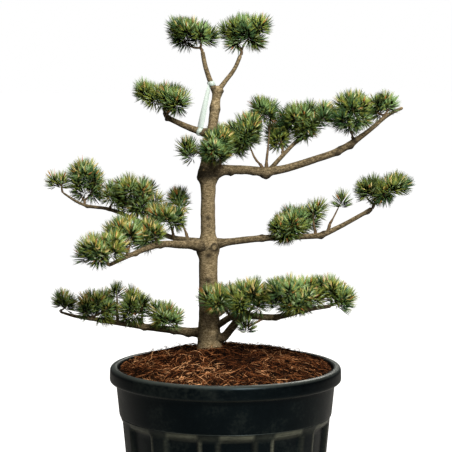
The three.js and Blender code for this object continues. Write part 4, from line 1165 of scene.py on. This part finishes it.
ring = np.linspace(0.004, 1, MOUND_RINGS)[:, None]
turn = np.linspace(0, 2 * np.pi, MOUND_SIDES, endpoint=False)[None]
x, y = ring * (BRIM - 3) * np.cos(turn), ring * (BRIM - 3) * np.sin(turn)
spot = np.stack([x, y, mound_height(x, y)], -1)
crumbs = sum(noise(spot / size, seed) * high for size, seed, high in CRUMBS)
crumbs = crumbs + np.abs(noise(spot / 2.1, 23)) * 1.6 - 2
z = spot[..., 2] + crumbs * soft_step(1 - ring, 0, 0.03)
top = np.stack([x, y, z], -1)
r, h = np.array([(BRIM - 1, 416), (250, 327), (237, 296), (209, 7)]).T[..., None]
wall = np.stack([r * np.cos(turn), r * np.sin(turn), h + 0 * turn], -1)
mound_grid = np.concatenate([top, wall])
middles = [[0, 0, z[0].mean()], [0, 0, 7]]
mound_points = np.vstack([mound_grid.reshape(-1, 3), middles])
mound_faces = round_faces(len(mound_grid), MOUND_SIDES)[:, ::-1]  # its rings run from the top down
print("mound triangles:", len(mound_faces))

# %% [markdown]
# ## Compost
# Wet compost is nearly black and doesn't shine. Flecks of paler crumbs are enough, since the loose
# fibres cover most of it.

# %% Mound piece
soil_stops = [(0.35, (0.004, 0.002, 0.001)), (0.55, (0.018, 0.008, 0.0035)), (0.72, (0.06, 0.027, 0.012))]
soil, shader = flecked_material("dark_compost", (0.02, 0.009, 0.004), 0.95, (130.0, 600.0, 0.45), soil_stops)
shader.inputs["Specular IOR Level"].default_value = 0.05
mound = mesh_piece("mulch_mound", mound_points / 1000, mound_faces, [soil])
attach(mound, "root")
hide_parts("root_ball")
print("soil:", soil.name)

# %% [markdown]
# ## Loose fibres
# The fibres are thousands of thin bent slivers, each three-sided, dropped at random on the mound and
# tilted a little out of it. There are coarse strips, fine hairs, flat chips, and hairs that stand up
# steeply. Like the needles, they are worked out as whole arrays, one set for each kind.

# %% Shapes of the fibres
FIBRES = [  # count, length, width, thickness, lift, seed, tilt, how far an end may rise
    (4000, (9, 34), (1.0, 2.3), 0.5, 3, 31, 0.14, 4),
    (4200, (14, 50), (0.6, 1.25), 0.8, 4, 32, 0.14, 4),
    (700, (7, 18), (3.0, 6), 0.28, 1.5, 33, 0.14, 4),
    (1700, (14, 46), (0.7, 1.2), 0.7, 6, 35, 0.5, 14),
]
FIBRE_RINGS = 5
TRUNK_ROOM = 31  # mm round the trunk that stay clear


def sliver_points(count, length, width, thick, lift, seed, tilt, most):
    """Bent three-sided slivers on the mound: rings along a curve that turns by a random angle, with the
    width 1 - 0.75 * |2s|^3 of the widest, for s from -0.5 to 0.5."""
    own = np.random.default_rng(seed)
    a, out = own.uniform(0, 2 * np.pi, count), np.sqrt(own.uniform(0, 1, count)) * (BRIM - 8)
    x, y = out * np.cos(a), out * np.sin(a)
    keep = np.hypot(x + 38, y) > TRUNK_ROOM
    x, y = x[keep, None], y[keep, None]
    count = len(x)
    heading, curl = own.uniform(0, 2 * np.pi, count)[:, None], own.normal(0, 0.5, count)[:, None]
    long, wide = own.uniform(*length, count)[:, None], own.uniform(*width, count)[:, None]
    s = np.linspace(-0.5, 0.5, FIBRE_RINGS)[None]
    angle = heading + curl * s * 2
    step = long / (FIBRE_RINGS - 1)
    px = x + np.cumsum(np.cos(angle) * step, 1) - np.cos(heading) * long / 2
    py = y + np.cumsum(np.sin(angle) * step, 1) - np.sin(heading) * long / 2
    shrink = np.minimum(1, (BRIM - 4) / np.hypot(px, py))
    px, py = px * shrink, py * shrink
    rise = own.uniform(-2.5, lift, count)[:, None] + own.normal(0, tilt, count)[:, None] * s * long
    line = np.stack([px, py, mound_height(px, py) + np.clip(rise, -3, most)], -1)
    lean = own.normal(0, 0.35, count)[:, None] + 0 * s
    sideways = unit(np.stack([-np.sin(angle), np.cos(angle), lean], -1))
    taper = ((1 - (2 * np.abs(s)) ** 3 * 0.75) * wide)[..., None]
    up = np.array([0, 0, 1.0]) * thick * taper
    return np.stack([line - sideways * taper * 0.5, line + sideways * taper * 0.5, line + up], 2)


bits = np.concatenate([sliver_points(*kind) for kind in FIBRES])
print("fibres and chips:", len(bits))

# %% [markdown]
# ## Colours of the fibres
# Each fibre has one of six plain colours. They gather in darker and paler patches, because a slow
# noise is added to the draw, and they are darkest in front to the right, where the photo shows shade.

# %% Colours and pieces of the fibres
MULCH = {
    "black": (9, 4, 2), "dark": (25, 12, 5), "brown": (58, 33, 18), "red": (90, 50, 27),
    "orange": (136, 88, 55), "tan": (190, 142, 102),
}
FIBRE_TINTS = [tint("mulch_" + name, srgb, 0.9, 0.04) for name, srgb in MULCH.items()]
chance = np.cumsum([0.25, 0.24, 0.19, 0.15, 0.11, 0.06])  # of each tint, from black to tan
centre = bits.mean(axis=(1, 2))
patch = noise(centre / 30, 36) * 0.14 + noise(centre / 90, 37) * 0.08
patch -= 0.16 * np.exp(-(((centre[:, 0] - 30) / 60) ** 2) - (((centre[:, 1] + 60) / 120) ** 2))
draw = np.random.default_rng(34).uniform(0, 0.999, len(bits)) + patch
pick = np.searchsorted(chance, draw.clip(0, 0.999))
for number, some in enumerate(np.array_split(np.arange(len(bits)), 2), 1):
    faces = many_tubes(len(some), FIBRE_RINGS, 3)
    each = np.repeat(pick[some], len(faces) // len(some))
    points = bits[some].reshape(-1, 3) / 1000
    mulch = mesh_piece(f"mulch_fibres_{number}", points, faces, FIBRE_TINTS, each, smooth=False)
    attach(mulch, "root")
    print("fibres:", len(some), "triangles:", len(faces))

# %% [markdown]
# ## The training tape
# The nursery tied the upper left bough with a flat, milky green tape: a loop round the left leader's
# foot, a straight run down beside the trunk, and a loop round the bough. It is a ribbon, so it is
# swept as a thin rectangle whose width turns along its way.

# %% Ribbons
TAPE_WIDTH, LOOP_THICK, RUN_THICK = 11, 0.5, 0.4  # mm
LEADER_AT, BOUGH_AT = 0.3, 0.26  # how far along its limb each loop lies


def ribbon(line, across, width, thick):
    """A thin rectangle carried along line, its long side along across."""
    way = unit(np.gradient(line, axis=0))
    across = unit(across - way * (across * way).sum(1, keepdims=True))
    w, t = across * width[:, None] / 2, np.cross(way, across) * thick / 2
    corners = np.stack([line - w - t, line + w - t, line + w + t, line - w + t], 1)
    return corners.reshape(-1, 3), many_tubes(1, len(line), 4)


def loop_round(limb, share, wobble):
    """A ribbon wound one and a quarter turns round a limb, lying on its bark: middle + radius *
    (cos a * n + sin a * b), moved along the limb by wobble * sin(1.5 a)."""
    line, way, radius = along(LIMBS[limb], [share])
    n = unit(np.cross(way, [0.2, 1, 0.1]))
    a = np.linspace(-0.4, 2 * np.pi + 0.9, 46)
    ride = radius[0] + 1.4 + 0.6 * (a > 2 * np.pi)
    ring = around(a[None], n, np.cross(way, n))[0] * ride[:, None]
    path = line + ring + way * (np.sin(a * 1.5) * wobble)[:, None]
    return ribbon(path, np.repeat(way, len(a), 0), np.full(len(a), TAPE_WIDTH), LOOP_THICK)


print("loop faces:", len(loop_round("leader_left", LEADER_AT, 1.5)[1]))

# %% [markdown]
# ## The tape in place
# Both loops follow the limbs' own curves, so they lie on the bark. The run between them hangs loose,
# turns its broad side to the front and looks wider towards the bough. Some light comes through the
# plastic, which a little transparency gives.

# %% Tape piece
high = along(LIMBS["leader_left"], [LEADER_AT])[0][0] + [-5, -4, -4]
low = along(LIMBS["bough_upper_left"], [BOUGH_AT])[0][0] + [0, -4, 9]
s = np.linspace(0, 1, 40)
turning = np.stack([np.cos(s * 1.1 - 0.5), -np.sin(s * 1.1 - 0.5), 0 * s], -1)
width = np.interp(s, [0, 0.12, 1], [6, 10, 17])
points, faces = join([
    ribbon(high + (low - high) * s[:, None], turning, width, RUN_THICK),
    loop_round("leader_left", LEADER_AT, 1.5),
    loop_round("bough_upper_left", BOUGH_AT, 1.0),
])
tape_stops = [(0.3, (0.5, 0.62, 0.6)), (0.7, (0.66, 0.77, 0.75))]
plastic, shader = flecked_material("milky_tape", (0.72, 0.8, 0.75), 0.38, (60.0, 300.0, 0.4), tape_stops)
shader.inputs["Alpha"].default_value = 0.6
tape = mesh_piece("training_tape_ribbon", points / 1000, faces, [plastic])
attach(tape, "root")
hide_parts("training_tape")
print("tape triangles:", len(faces))

# %% [markdown]
# ## Measure and finish
# Both boxes, the measured model's and the dressed plant's, are printed at the end.

# %% Write the sizes and finish
new_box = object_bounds()
for name, box in (("cad box:", cad_box), ("visual box:", new_box)):
    print(name, [[round(c, 3) for c in v] for v in box])
